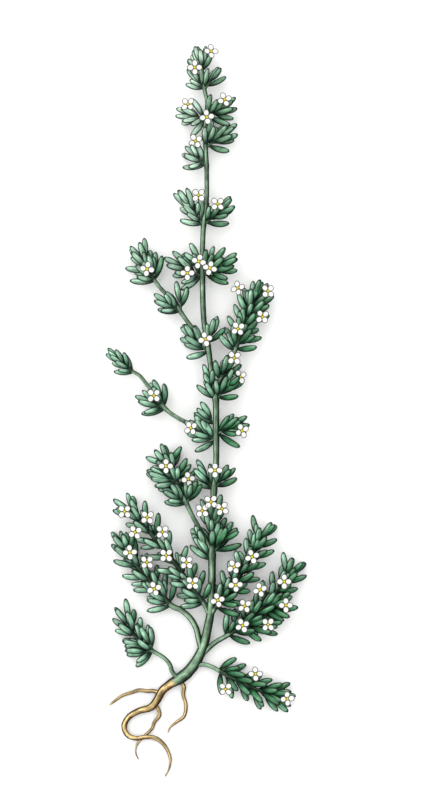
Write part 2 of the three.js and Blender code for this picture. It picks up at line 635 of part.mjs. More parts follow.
const heads = plan.flatMap((entry) => entry.heads);
const rootCut = stemSolid(lineAlong(ROOT.taproot, 1).slice(0, 4), MAIN_SIDES, GAP);
for (const { name, part, tufts, leaves, heads: own } of plan) {
  let stem = stemSolid(lineAlong(part.route, 1), name === 'main_stem' ? MAIN_SIDES : BRANCH_SIDES);
  if (name === 'main_stem') stem = stem.trimByPlane([0, 0, 1], 0);
  else stem = largest(stem.subtract(mainCut).subtract(rootCut));
  let leafy = wasm.Manifold.union([
    stem,
    ...tufts.map((line) => stemSolid(line, SHOOT_SIDES)),
    ...leaves.map(leafSolid),
    ...own.flat().map(pedicelSolid),
  ]);
  for (const bloom of heads.flat()) {
    if (!leafy.intersect(bloomSolid(bloom, 0.1)).isEmpty()) leafy = leafy.subtract(bloomSolid(bloom, GAP));
  }
  plant.add(meshOf(largest(leafy), name, STEM_GREEN));
}

heads.forEach((blooms, k) => {
  const head = wasm.Manifold.union(blooms.map((bloom) => bloomSolid(bloom)));
  plant.add(meshOf(head, `bloom_${String(k + 1).padStart(2, '0')}`, PETAL_WHITE));
});

export default plant;
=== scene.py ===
import math

import bpy
import numpy as np
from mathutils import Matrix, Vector


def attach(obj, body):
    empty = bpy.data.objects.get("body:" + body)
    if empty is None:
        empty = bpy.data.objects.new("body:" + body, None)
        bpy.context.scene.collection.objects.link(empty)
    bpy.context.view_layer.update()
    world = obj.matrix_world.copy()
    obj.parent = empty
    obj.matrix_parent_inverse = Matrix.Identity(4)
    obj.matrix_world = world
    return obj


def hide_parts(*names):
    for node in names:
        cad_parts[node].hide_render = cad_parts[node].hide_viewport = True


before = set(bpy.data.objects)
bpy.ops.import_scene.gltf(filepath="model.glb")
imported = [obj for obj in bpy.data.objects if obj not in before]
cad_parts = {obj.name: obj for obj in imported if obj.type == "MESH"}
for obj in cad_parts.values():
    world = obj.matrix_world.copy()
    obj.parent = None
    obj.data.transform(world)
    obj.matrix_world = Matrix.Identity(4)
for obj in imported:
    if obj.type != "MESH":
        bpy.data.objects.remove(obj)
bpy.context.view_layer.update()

# A whole saltwort plant, pulled up with its root and laid flat, seen from straight above.
# Lengths are millimetres up to the point where a mesh is made, and then metres.
METRES = 0.001

# Real sizes and the rule that places the leaves, as in the solids that these pieces stand for.
LEAF_LENGTH = 14
LEAF_HALF_WIDTH = 2.0
LEAF_HALF_THICKNESS = 1.1
LEAF_NECK = 0.25
LEAF_BELLY = 0.52
LEAF_SWELL = 0.9
LEAF_TAPER = 2.6
BLOOM_RADIUS = 4.6
BLOOM_LIFT = 7.0
LEAN_RATE = 2.4
MOST_LEAN = 28
CALYX_RADIUS = 0.95
CALYX_DROP = 3.1
SHOOT_RADIUS = 0.9
SHOOT_RISE = 1.5
GAP = 0.35
MM_PER_PX = 0.6
OVER_ORIGIN_PX = (206.4, 411.7)
SIDES = (1, -1, 0.4, -0.4)
OUTER_TILT = 5
MIDDLE_TILT = 26
PROP_TILT = -32
PROP_EVERY = 5
LEAF_SWAY = 0.035
LEAF_JITTER = 10
LEAF_LEAST_LENGTH = 0.92
LEAF_LENGTH_RANGE = 0.18
TUFT_NARROWING = 0.8
SPRAY_NARROWING = 0.45
ROOT_SHARE = 0.2
TRY_TURNS = (0, 8, -8, 16, -16, 26, -26)
TRY_TILTS = (0, 10, -10, 20, -20)
TRY_LENGTHS = (1, 0.82)
LEAF_STATIONS = (0.15, 0.35, 0.55, 0.75, 0.92)
STALK_STATIONS = (0.3, 0.5, 0.7, 0.9)
CENTRE_MARK = (1.4, 0.9)
PETAL_MARK_REACH = 0.6
PETAL_MARK_RADIUS = 0.42
PETAL_MARK_DEPTH = 0.8
SHOOT_STATIONS = (0.3, 0.55, 0.8)
FREE_STATION = 1
STEPS = 4
MOST_MARKS = 10000

# The seed of the first stem, leaf, petal or root, and the step from one to the next.
GROWN_SEEDS = (4001, 97)
YOUNG_SEEDS = (9001, 97)
LEAF_SEEDS = (7, 13)
PETAL_SEEDS = (31, 17)
ROOT_SEEDS = (71, 19)

# Younger leaves stand between the grown ones: their sides, and their count and size as shares of those.
YOUNG_SIDES = (0.72, -0.72, 0.2, -0.2)
YOUNG_COUNT = 0.45
YOUNG_SIZE = 0.88
YOUNG_SIZE_RANGE = 0.18
YOUNG_TILT = 12
YOUNG_JITTER = 12
YOUNG_START = 0.8

# Each stem's route: u and v in the photograph's pixels, then height and radius in millimetres.
# A spray: u, v, u, v, leaves, spread in degrees, size. A tuft: its shoot's two ends, then the same three.
# A bloom: u, v, the turn of its petals, and its lift over the axis where that differs.
# A cluster is a bunch of blooms that touch.
PLANT = {
    "main_stem": {
        "route": [
            [187, 674, 2.6, 3.4], [193, 667, 2.6, 3.3], [199, 657, 3.2, 3], [204, 645, 4.3, 2.75],
            [208, 627, 5.5, 2.55], [210.5, 612, 6.3, 2.4], [212, 582, 7.4, 2.25], [212, 555, 8, 2.15],
            [212.5, 525, 8.4, 2], [214, 490, 8.5, 1.9], [216.3, 461, 8.5, 1.75], [216, 434, 8.5, 1.85],
            [215.8, 400, 8.5, 1.85], [211.5, 372, 8.5, 1.65], [208, 346, 8.5, 1.6], [203.8, 319, 8.4, 1.65],
            [202.6, 284, 8.4, 1.65], [202.5, 253, 8.2, 1.55], [203.6, 225, 8, 1.5], [206.6, 200, 7.8, 1.4],
            [206.6, 165, 7.6, 1.35], [205, 130, 7.4, 1.25], [207.5, 105, 7.3, 1.2], [204.5, 89, 7, 1.1],
            [202.5, 72, 7, 1], [200.5, 60, 7.2, 0.7],
        ],
        "sprays": [[202.5, 73, 200.5, 62, 7, 42, 0.9], [212, 553, 213, 512, 12, 50, 1.05]],
        "tufts": [
            [204.5, 89.5, 199, 82, 4, 44, 0.85], [204.7, 89.5, 211.5, 80, 4, 34, 0.85],
            [205.5, 119, 194.5, 116.5, 6, 64, 0.95], [207, 119, 219, 110.5, 7, 58, 0.95],
            [206, 150, 220, 138, 7, 54, 1], [206.5, 148, 208.5, 139, 3, 30, 0.9],
            [206.8, 164, 197, 158.5, 5, 50, 0.95], [204, 225, 189, 206, 8, 46, 1],
            [204.2, 225.5, 218, 213, 7, 50, 1], [201.8, 280, 183, 268, 8, 62, 1.02],
            [202.2, 280, 221, 266, 8, 62, 1.02], [202, 272, 197.5, 261, 2, 26, 1],
            [202.2, 273, 211, 261, 2, 26, 1], [208.3, 350, 194.5, 339, 7, 58, 1],
            [208.2, 346, 211.5, 335, 4, 40, 0.95], [216, 397, 210, 385, 4, 36, 0.95],
            [216.3, 399, 228, 386, 8, 50, 0.95], [216, 438, 204, 432, 7, 64, 1],
            [216, 427, 210, 418.5, 2, 22, 1], [216, 436, 229, 429, 8, 64, 1], [214, 489, 207, 480, 4, 38, 1],
            [214, 489, 221.5, 480, 4, 40, 1], [212, 559, 202, 542, 5, 32, 1.05],
            [212, 555, 224, 539, 5, 46, 1.05],
        ],
        "blooms": [
            [211, 52, 0, 4.5], [195, 68.5, 0], [188, 105.5, 45], [224.5, 101, 20], [207, 118, 10],
            [195.7, 141.5, 30, 4.5], [198.7, 196, 45], [217.5, 205, 45], [187.5, 273.5, 0],
            [205.4, 339.4, 15], [191.2, 428, 35], [241.6, 430.6, 25], [215, 470, 0],
        ],
        "clusters": [
            [[198.8, 262, -15], [209.8, 268.6, -15]],
            [[211, 501.5, 50], [202.3, 510.3, 48], [222, 508.3, 57]],
        ],
    },
    "upper_left_branch": {
        "route": [
            [207.5, 345, 8.4, 1.3], [200, 335, 8.4, 1.3], [191, 326, 8, 1.3], [182.5, 314.5, 7.4, 1.25],
            [176, 305, 7.2, 1.2], [169, 297, 7, 1.2], [160, 287.5, 7, 1.15], [154, 279, 7, 1.1],
            [147.5, 268, 7.2, 1], [141, 257.5, 7.4, 0.8],
        ],
        "sprays": [[156, 282, 142, 260, 15, 54, 1]],
        "tufts": [[180.5, 311.5, 171, 306, 4, 34, 0.95], [180, 311, 180.5, 302, 3, 32, 0.95]],
        "blooms": [[147.3, 269.5, -10]],
    },
    "middle_left_branch": {
        "route": [
            [214.5, 432.5, 8.4, 1.35], [203, 428.5, 8.2, 1.35], [190, 424, 7.6, 1.35], [177, 417.5, 7, 1.3],
            [166, 409.5, 6.8, 1.3], [157, 398, 6.6, 1.2], [148, 386, 6.4, 1.15], [140, 376, 6.4, 1.1],
            [133, 371.5, 6.4, 1.05], [125, 365.5, 6.6, 0.9], [116, 358, 6.8, 0.7],
        ],
        "sprays": [[134, 372, 117.5, 359, 8, 32, 0.8]],
        "tufts": [[166, 409.5, 154, 403.5, 5, 38, 0.98], [166, 409.5, 159.5, 397, 5, 34, 0.98]],
        "blooms": [[154, 395.6, 45]],
    },
    "upper_right_branch": {
        "route": [
            [215, 391, 8.3, 1.4], [219.5, 381, 8, 1.4], [227.5, 367, 8, 1.4], [234.5, 352, 8.4, 1.35],
            [241, 335, 8.8, 1.3], [249, 315, 9, 1.15], [254, 302, 9, 1], [256, 295, 9, 0.8],
        ],
        "sprays": [[235, 351, 255.5, 300, 27, 66, 0.98]],
        "tufts": [[220, 381, 223.5, 373, 4, 44, 1]],
        "blooms": [
            [238, 288.5, 15, 4.5], [267.6, 291.6, 45, 5], [262, 317, 40], [238, 329, 35], [234.2, 358, 40],
            [239.7, 376.7, 30, 2.5],
        ],
    },
    "lower_left_branch": {
        "route": [
            [212, 552, 7.9, 1.4], [205, 538, 8.4, 1.4], [198, 526, 8.6, 1.4], [192, 515, 8.4, 1.35],
            [187, 504.5, 8.2, 1.35], [180.5, 491, 8, 1.25], [174, 475, 7.8, 1.15], [168, 464, 7.6, 1],
            [165, 458, 7.6, 0.8],
        ],
        "sprays": [[180.5, 491, 167, 463, 14, 70, 0.98]],
        "tufts": [
            [186.5, 504, 178, 498, 4, 36, 0.95], [186.5, 504, 189.5, 496, 4, 34, 0.95],
            [176.5, 481, 165.5, 477.5, 5, 34, 1.02],
        ],
        "blooms": [[166.2, 465.8, 0], [188.2, 479, 10, 4.5]],
    },
    "inner_left_branch": {
        "route": [
            [209.8, 616, 6, 1.6], [204.5, 604, 7.2, 1.6], [197, 594, 8.4, 1.55], [188, 582, 9.4, 1.5],
            [176, 564.5, 9.8, 1.45], [161, 546, 9.8, 1.35], [147, 529, 9.6, 1.2], [135.5, 515.5, 9.2, 1.05],
            [127, 506.5, 9, 0.8],
        ],
        "sprays": [[204.5, 604, 130, 511, 31, 66, 0.98]],
        "tufts": [],
        "blooms": [
            [125, 511, 45], [147.4, 517, 40, 6], [135.6, 531.5, 30], [162.4, 531.4, 45, 6],
            [166.4, 554.6, 45], [186.4, 562, 45, 6], [192.6, 582.3, 45],
        ],
    },
    "outer_left_branch": {
        "route": [
            [201.5, 652, 3.9, 1.8], [198.8, 640, 4.6, 1.8], [196.2, 629, 5, 1.75], [190.3, 618.7, 5.2, 1.7],
            [181.5, 610.8, 5.4, 1.65], [172, 606.3, 5.6, 1.6], [163.5, 597, 5.8, 1.5], [154, 586, 6, 1.4],
            [142, 572, 6, 1.25], [131, 559, 6, 1.1], [126.5, 549, 6, 0.95], [124, 541, 6.2, 0.8],
        ],
        "sprays": [[172, 606, 125.5, 546.5, 25, 58, 0.98]],
        "tufts": [],
        "blooms": [[130, 552, 5], [147, 562, 45], [154.5, 588.3, 20]],
    },
    "base_left_branch": {
        "route": [
            [179, 680, 3, 1.3], [172.3, 673, 3.2, 1.3], [170, 666, 3.4, 1.25], [165, 659.5, 3.6, 1.2],
            [156, 653.7, 3.8, 1.2], [150, 650.5, 4.2, 1.15], [142, 644.5, 4.6, 1.1], [134, 635, 4.8, 1],
            [129.5, 626, 5, 0.9], [126, 617.5, 5, 0.7],
        ],
        "sprays": [[149, 650, 128, 622.5, 12, 54, 0.98]],
        "tufts": [[152, 652.5, 144, 652.5, 4, 44, 1], [153, 652.5, 150, 644, 3, 34, 1]],
        "blooms": [],
    },
    "inner_right_branch": {
        "route": [
            [209, 621, 5.8, 1.5], [214, 610, 7.2, 1.5], [222, 600, 8.2, 1.45], [232, 587, 8.8, 1.4],
            [241.5, 573, 9, 1.3], [250.5, 559, 9, 1.2], [257, 545, 9, 1.05], [262, 532, 9, 0.8],
        ],
        "sprays": [[213, 611, 261.5, 535, 30, 66, 0.98]],
        "tufts": [],
        "blooms": [[252, 556, 20], [234, 566.2, 30], [235.5, 584, 5], [217.7, 599.5, 15]],
    },
    "outer_right_branch": {
        "route": [
            [197, 660, 3.4, 1.6], [204, 653.5, 3.6, 1.6], [210, 647.5, 3.8, 1.6], [217, 642, 4, 1.55],
            [225, 637.5, 4.4, 1.5], [236, 630.5, 5, 1.45], [249, 621.5, 5.8, 1.4], [260, 611, 6.4, 1.3],
            [270.5, 600, 6.8, 1.2], [280, 588, 7, 1.1], [287.5, 577, 7, 0.95], [292, 568, 7, 0.8],
        ],
        "sprays": [[226, 637, 290.5, 572.5, 30, 58, 0.98]],
        "tufts": [[238, 629, 260, 627, 7, 50, 1], [261, 610, 279, 607, 6, 48, 1]],
        "blooms": [
            [260, 589.3, 20], [284, 581, 0], [244.8, 605.5, 35], [285.4, 604.6, 0], [242.4, 625, 25],
            [267.6, 624, 45],
        ],
    },
    "base_right_branch": {
        "route": [
            [190.5, 670.5, 3, 1.4], [196.5, 666.5, 3, 1.4], [204, 665.5, 3.2, 1.4], [212.5, 668, 3.6, 1.35],
            [220, 672, 4.2, 1.35], [231, 678, 5, 1.3], [244, 684.5, 5.6, 1.25], [259, 691, 5.8, 1.1],
            [269, 694.5, 5.8, 0.95], [277, 696.3, 5.8, 0.8],
        ],
        "sprays": [[217.5, 670.8, 275, 695.8, 23, 60, 0.98]],
        "tufts": [],
        "blooms": [[255.2, 673.4, 0], [225.6, 688.3, 45], [287, 698.2, 5, 5.5]],
    },
}

# The taproot and its rootlets, in the same four values.
ROOT = {
    "taproot": [
        [186.6, 674.4, 2.6, 3.4], [179, 680, 2.6, 3.25], [170, 685.5, 2.4, 2.75], [162, 692, 2.3, 2.45],
        [157, 701.3, 2.3, 2.25], [150.3, 708.8, 2.2, 2.15], [138.5, 712.5, 2, 1.9], [129, 718, 1.9, 1.65],
        [123.8, 727.3, 1.8, 1.6], [127.2, 736.2, 1.9, 1.55], [135.5, 739.6, 2.3, 1.35],
        [145, 738.4, 2.7, 1.25], [154.3, 739.3, 2.2, 1.25], [162.8, 745.2, 1.5, 1.15],
        [168.2, 754, 1.1, 0.95], [170.2, 762.2, 0.9, 0.75], [168.8, 771, 0.8, 0.5], [165, 778, 0.8, 0.4],
    ],
    "left_rootlet": [
        [160.5, 694, 2, 1.1], [153, 692, 1.6, 1.1], [146.6, 692.4, 1.4, 1.05], [139, 691.6, 1.3, 1.05],
        [131.3, 693.9, 1.2, 1], [122, 697, 1.1, 0.9], [115.3, 701.6, 1, 0.8], [109.1, 706.5, 0.9, 0.45],
    ],
    "right_rootlet": [
        [177, 681, 2.2, 1.25], [183.5, 687.5, 1.8, 1.15], [183, 696, 1.4, 1.1], [185.7, 706.9, 1.3, 1.05],
        [184, 717.7, 1.1, 0.95], [177.3, 723, 1, 0.8], [170.4, 728.4, 0.8, 0.55], [167.6, 734, 0.7, 0.4],
    ],
    "middle_rootlet": [
        [156, 706, 2, 1.05], [159.4, 716, 1.5, 1.05], [154, 724, 1.1, 0.95], [152, 730, 0.9, 0.85],
        [146.6, 735.3, 0.8, 0.8], [139.7, 742.2, 0.8, 0.75], [135.9, 748.3, 0.7, 0.55],
        [135.5, 755.2, 0.7, 0.45], [138, 761, 0.6, 0.35],
    ],
}

# How finely the pieces are drawn.
AROUND_STEM = 20
AROUND_SHOOT = 12
AROUND_STALK = 8
AROUND_CENTRE = 14
AROUND_DOME = 12
AROUND_PETAL = 22
AROUND_TAPROOT = 36
AROUND_ROOTLET = 16
STEM_STEPS = 6
SHOOT_RINGS = 5
STALK_RINGS = 7
LEAF_RINGS = (0, 0.1, 0.2, 0.32, 0.45, 0.58, 0.7, 0.8, 0.88, 0.94, 0.98)
LEAF_ANGLES = (0, 20, 38, 62, 90, 118, 142, 160, 180, 215, 270, 325)
PETAL_RINGS = (0.0, 0.4, 0.68, 0.76, 0.84, 0.92, 1.0)
DOME_SLOPES = (0, 28, 54, 76)

# Small forms that the solids leave out, and the stretch of a leaf that sets its slope.
JOINT_SWELL = 0.14
JOINT_REACH = 1.5
STEM_RIBS = 4
STEM_RIB = 0.03
END_SHARE = 0.6
GROOVE_DEPTH = 0.22
GROOVE_WIDTH = 0.3
LEAF_UNDERSIDE = 0.72
LEAF_CLEARANCE = 0.02
LEAF_CHORD = (0.2, 0.8)
ROOT_WAVES = (2, 3, 5, 8, 11)
ROOT_WRINKLE = 0.035
ROOT_TWIST = 1.4
ROOT_PACE = 2.0
ROOT_PACE_RANGE = 5.0
MOST_PHASE = 6.28
# The taproot starts inside the stem's collar, and stays green over this length in millimetres.
INSIDE_COLLAR = (191, 669.5, 2.6, 2.6)
GREEN_LENGTH = 13.0
GREEN_FADE = 4.0

# The stalk under a bloom: its radius, the shares of straight run and of bow in it, and the bow's drop.
STALK_RADIUS = 0.42
STALK_STRAIGHT = 0.7
STALK_BOW = 0.3
STALK_DROP = 1.6
# The calyx's rings: radius, height under the bloom's face, and how far its lobes flare and rise.
CALYX_RINGS = ((STALK_RADIUS, -CALYX_DROP, 0, 0), (0.74, -2.5, 0, 0), (0.98, -1.7, 0.02, 0),
               (1.02, -1.05, 0.06, 0.18), (1.12, -0.55, 0.12, 0.34))
# The rings of a bloom's yellow middle: radius and height over its face.
CENTRE_RINGS = ((0.5, -1.6), (0.55, -0.9), (0.7, -0.2), (1.0, 0.16), (1.05, 0.3), (0.8, 0.42))
# Knobs on it: height, radius, and how far they rise.
DISC_KNOB = (0.36, 0.8, 0.42)
ANTHER_KNOB = (0.66, 0.25, 0.3)
STYLE_KNOB = (0.75, 0.16, 0.34)
ANTHER_REACH = 0.5

# A petal, as shares of a bloom's radius, and then its cup and thickness in millimetres.
PETAL_MIDDLE = 0.55
PETAL_HALF_LENGTH = 0.45
PETAL_HALF_WIDTH = 0.385
PETAL_LEAST = 0.97
PETAL_LENGTH_RANGE = 0.06
PETAL_WIDTH_RANGE = 0.08
PETAL_BROADER_TIP = 0.05
PETAL_FOOT = 0.12
PETAL_CUP_ALONG = 0.3
PETAL_CUP_ACROSS = 0.34
PETAL_DROOP_RANGE = 0.25
PETAL_RIPPLE = 0.05
PETAL_RIPPLES = 5
PETAL_THICKNESS = 0.2
PETAL_EDGE = 0.03

# How light and shade are painted on a leaf. A range is where a ramp starts and where it ends.
TOWARDS_LIGHT = np.array((-0.8, 0.6, 0))
# Painted shade by heading: leaves heading right, away from the light, are painted towards DEEP_LEAF, with a
# random sway, and leaves heading left stay pale.
HEADING_SHADE_RANGE = (-0.6, 0.75)
HEADING_SHADE_SWAY = 0.7
LEAST_HEADING_SHADE = 0.05
MOST_HEADING_SHADE = 0.85
LEAST_BRIGHT = 0.8
MOST_BRIGHTER = 0.38
# A painted highlight on the side of a leaf towards the light, near its tip, weaker on leaves painted in
# shade.
PAINTED_HIGHLIGHT = 0.75
SHADED_HIGHLIGHT_LOSS = 0.45
HIGHLIGHT_RANGE = (-0.3, 0.5)
HIGHLIGHT_ALONG = (0.4, 0.8)
# Painted shade on the side of a leaf away from the light and at its foot.
FAR_SIDE_SHADE = 0.5
FAR_SIDE_RANGE = (-0.45, 0.8)
ROOT_SHADE = 0.95
ROOT_SHADE_RANGE = (0.1, 0.58)
MOST_SHADE = 0.96
MARGIN = 0.97
MARGIN_RANGE = (0.5, 0.82)
TIP_MARGIN = 0.95
TIP_RANGE = (0.88, 0.96)
# Leaves grow paler over this stretch of the plant, in millimetres along it, up to this share.
PALER_RANGE = (20, 190)
PALER = 0.62
SHADED_PALER_LOSS = 0.75

# How light and shade are painted on stems and roots, and how petals are toned.
# Painted shade on the side of a stem that faces away from the light, to the lower right.
STEM_AWAY_FROM_LIGHT = (0.85, -0.35)
STEM_SIDE_SHADE_RANGE = (-0.35, 0.6)
STEM_EDGE = 0.95
STEM_EDGE_RANGE = (0.58, 0.88)
# Painted shade where a spray's leaves cover a stem, and on a tuft's shoot, and a darker ring at each joint.
COVERED_SHADE = 0.8
JOINT_SHADE = 0.35
SHOOT_COVERED = 0.7
# Painted shade on the side of a root away from the light, and in the furrows of its wrinkles.
ROOT_AWAY_FROM_LIGHT = (0.8, -0.6)
ROOT_SIDE_SHADE_RANGE = (-0.3, 0.7)
ROOT_FURROW_SHADE = 4.5
ROOT_EDGE = 0.96
ROOT_EDGE_RANGE = (0.55, 0.85)
THROAT = 0.8
THROAT_RANGE = (0.1, 0.42)
PETAL_RIM = 0.95
PETAL_RIM_RANGE = (0.7, 0.84)
CENTRE_RING_RANGE = (0.45, 0.8)
KNOB_RANGE = (0.0, 0.5)

# How far the grain of one leaf, petal or root starts from the next, and how the grain runs on a calyx.
LEAF_OFFSET = 3.7
PETAL_OFFSET = 2.3
ROOT_OFFSET = 5.0
CALYX_STRETCH = 3
CALYX_PALE = 0.5

# What the materials share.
GLOSS_BELOW = 0.08
GLOSS_ABOVE = 0.1
NOISE_LOW = 0.3
NOISE_HIGH = 0.7
STREAK_DETAIL = 3.0
BLOTCH_DETAIL = 4.0
BLOTCH_SHARE = 0.7
BUMP_STRENGTH = 0.6
SPECULAR = 0.07

# Tones, as 8-bit sRGB.
# Leaves: a lit tone and a painted-shade tone, a painted highlight tone that also pales the young leaves,
# painted shade, and the margin line.
PALE_LEAF = (134, 184, 154)
DEEP_LEAF = (44, 114, 66)
LIT_LEAF = (206, 234, 212)
LEAF_SHADE = (8, 30, 18)
LEAF_LINE = (4, 10, 7)
# Stems: a lit tone, a painted-shade tone and the edge line.
STEM_LIGHT = (132, 162, 134)
STEM_DEEP = (26, 44, 28)
STEM_LINE = (5, 12, 7)
PETAL_WHITE = (226, 227, 224)
PETAL_LINE = (46, 38, 32)
PETAL_THROAT = (196, 208, 150)
CENTRE_YELLOW = (228, 208, 40)
CENTRE_RING = (58, 46, 12)
# Roots: a lit tone, a painted-shade tone and the edge line.
ROOT_LIGHT = (212, 186, 132)
ROOT_DEEP = (80, 52, 22)
ROOT_LINE = (28, 18, 8)


def put_in_scene(name, data):
    """A new object that holds the data."""
    thing = bpy.data.objects.new(name, data)
    bpy.context.scene.collection.objects.link(thing)
    return thing


def paint(tone):
    """The linear colour of an 8-bit sRGB tone."""
    share = np.array(tone, float) / 255
    return np.where(share <= 0.04045, share / 12.92, ((share + 0.055) / 1.055) ** 2.4)


def blend_tones(first, second, share):
    """A row of linear colours between two, one for each share."""
    share = np.clip(np.asarray(share, float), 0, 1)[..., None]
    return first * (1 - share) + second * share


def shift_towards(tones, goal, share):
    """Linear colours moved towards a goal, by a share for each."""
    return tones + (goal - tones) * np.asarray(share)[..., None]


def ramp(value, low, high):
    """0 below low, 1 above high, and smooth between them."""
    share = np.clip((np.asarray(value, float) - low) / (high - low), 0, 1)
    return share * share * (3 - 2 * share)


def turns_round(count):
    """The angles of points set evenly round a ring."""
    return 2 * np.pi * np.arange(count) / count


def draws_for(seeds, number):
    """Numbers from 0 to 1 that are the same on every run."""
    first, step = seeds
    state = [first + step * number]

    def draw():
        state[0] = (state[0] * 16807) % 2147483647
        return state[0] / 2147483647

    return draw


def from_pixel(u, v):
    return ((u - OVER_ORIGIN_PX[0]) * MM_PER_PX, (OVER_ORIGIN_PX[1] - v) * MM_PER_PX)


def route_points(route):
    return [(*from_pixel(u, v), z, radius) for u, v, z, radius in route]


def line_along(route, steps):
    """A route's line, as (x, y, z, radius) every 1/steps of each of its straight spans."""
    points = route_points(route)
    line = []
    for a, b in zip(points, points[1:]):
        for k in range(steps):
            line.append(tuple(p + ((q - p) * k) / steps for p, q in zip(a, b)))
    line.append(points[-1])
    return line


def smooth_line(points, steps):
    """A smooth line through the points, with steps to each span."""
    points = np.array(points, float)
    padded = np.vstack([points[0], points, points[-1]])
    line = []
    for i in range(len(points) - 1):
        a, b, c, d = padded[i:i + 4]
        for k in range(steps):
            t = k / steps
            line.append(0.5 * (2 * b + (c - a) * t + (2 * a - 5 * b + 4 * c - d) * t * t
                               + (3 * b - a - 3 * c + d) * t ** 3))
    line.append(points[-1])
    return np.array(line)


def along_shoot(foot, end):
    """Points along a tuft's shoot, from near its foot to its end."""
    return [tuple(p + (q - p) * share for p, q in zip(foot, end)) for share in SHOOT_STATIONS]


def nearest_index(line, x, y):
    far = [math.hypot(p[0] - x, p[1] - y) for p in line]
    return far.index(min(far))


def spray_ends(line, spray):
    """Where a spray starts and ends on its stem's line."""
    u, v, to_u, to_v, *_ = spray
    return nearest_index(line, *from_pixel(u, v)), nearest_index(line, *from_pixel(to_u, to_v))


def place_on(line, start, end, share):
    """The point, radius and heading in plan at a share of a stretch of the line."""
    at = start + (end - start) * share
    i = min(math.floor(at), len(line) - 2)
    a, b = line[i], line[i + 1]
    x, y, z, radius = (p + (q - p) * (at - i) for p, q in zip(a, b))
    return (x, y, z), radius, math.atan2(b[1] - a[1], b[0] - a[0])


def leaf_fullness(s):
    """A leaf's width at a share of its length, as a share of the widest."""
    swell = math.sin((math.pi / 2) * min(s / LEAF_BELLY, 1)) ** LEAF_SWELL
    past = max(0.0, (s - LEAF_BELLY) / (1 - LEAF_BELLY))
    return (LEAF_NECK + (1 - LEAF_NECK) * swell) * math.sqrt(max(0.0, 1 - past ** LEAF_TAPER))


def leaf_point(leaf, s):
    """A point of the leaf's middle line, kept above the surface that the plant lies on."""
    x0, y0, z0 = leaf["point"]
    turn, tilt, length = leaf["turn"], leaf["tilt"], leaf["length"]
    heading = leaf["heading"] + turn
    off = ROOT_SHARE * leaf["radius"] / math.hypot(math.cos(tilt) * math.sin(turn), math.sin(tilt))
    aside = off * math.cos(tilt) * math.sin(turn)
    along = length * s * math.cos(tilt)
    bend = length * leaf["sway"] * 4 * s * (1 - s)
    x = x0 - aside * math.sin(leaf["heading"]) + along * math.cos(heading) - bend * math.sin(heading)
    y = y0 + aside * math.cos(leaf["heading"]) + along * math.sin(heading) + bend * math.cos(heading)
    z = z0 + off * math.sin(tilt) + length * s * math.sin(tilt)
    return (x, y, max(z, LEAF_HALF_THICKNESS * leaf["size"] * leaf_fullness(s)))


# What a mark stands for.
STEM, BLOOM, LEAF = 0, 1, 2


class Taken:
    """The room that stems, blooms and leaves take up, as flat round marks."""

    def __init__(self):
        self.rows = np.zeros((MOST_MARKS, 8))
        self.count = 0

    def add(self, marks):
        for row in marks:
            self.rows[self.count] = row
            self.count += 1

    def near(self, x, y, reach):
        """The marks whose middles are within reach of a place, seen from above."""
        rows = self.rows[:self.count]
        return rows[np.hypot(rows[:, 0] - x, rows[:, 1] - y) < reach]


def fit_among(marks, rows):
    """Whether a leaf's marks cross another stem's things, touch its own stem's leaves, or neither."""
    own = np.array(marks, float)[:, None, :]
    rows = rows[None, :, :]
    flat = np.hypot(own[..., 0] - rows[..., 0], own[..., 1] - rows[..., 1])
    upright = own[..., 2] - rows[..., 2]
    wide, thick = own[..., 3] + rows[..., 3], own[..., 4] + rows[..., 4]
    strict = (rows[..., 5] != own[..., 5]) | (rows[..., 6] == BLOOM)
    if np.any(strict & ((flat / (wide + GAP)) ** 2 + (upright / (thick + GAP)) ** 2 < 1)):
        return "crosses"
    loose = ~strict & (rows[..., 6] == LEAF) & (own[..., 7] * rows[..., 7] > 0)
    if np.any(loose & ((flat / wide) ** 2 + (upright / thick) ** 2 < 1)):
        return "touches"
    return "neat"


def leaf_marks(leaf):
    marks = []
    for k, s in enumerate(LEAF_STATIONS):
        full = leaf_fullness(s) * leaf["size"]
        marks.append((*leaf_point(leaf, s), LEAF_HALF_WIDTH * full, LEAF_HALF_THICKNESS * full,
                      leaf["owner"], LEAF, k >= FREE_STATION))
    return marks


def place_leaf(home, taken):
    """The leaf turned, tilted or shortened by the first steps that clear what is there, or None."""
    fallback = None
    rows = taken.near(home["point"][0], home["point"][1], home["length"] + BLOOM_RADIUS)
    for share in TRY_LENGTHS:
        for turn in TRY_TURNS:
            for tilt in TRY_TILTS:
                leaf = dict(home)
                leaf["turn"] = home["turn"] + math.radians(turn)
                leaf["tilt"] = home["tilt"] + math.radians(tilt)
                leaf["length"] = home["length"] * share
                marks = leaf_marks(leaf)
                fit = fit_among(marks, rows)
                if fit == "neat":
                    taken.add(marks)
                    return leaf
                if fit == "touches" and fallback is None:
                    fallback = (leaf, marks)
    if fallback is None:
        return None
    taken.add(fallback[1])
    return fallback[0]


def add_if_room(leaves, owner, place, side, turn, tilt, length, size, taken):
    """Adds a leaf that starts at a place on a line, if there is room for it."""
    point, radius, heading = place
    leaf = place_leaf({
        "owner": owner, "point": point, "radius": radius, "heading": heading, "size": size,
        "turn": math.radians(turn), "tilt": math.radians(tilt), "length": length, "sway": LEAF_SWAY * side,
    }, taken)
    if leaf:
        leaves.append(leaf)


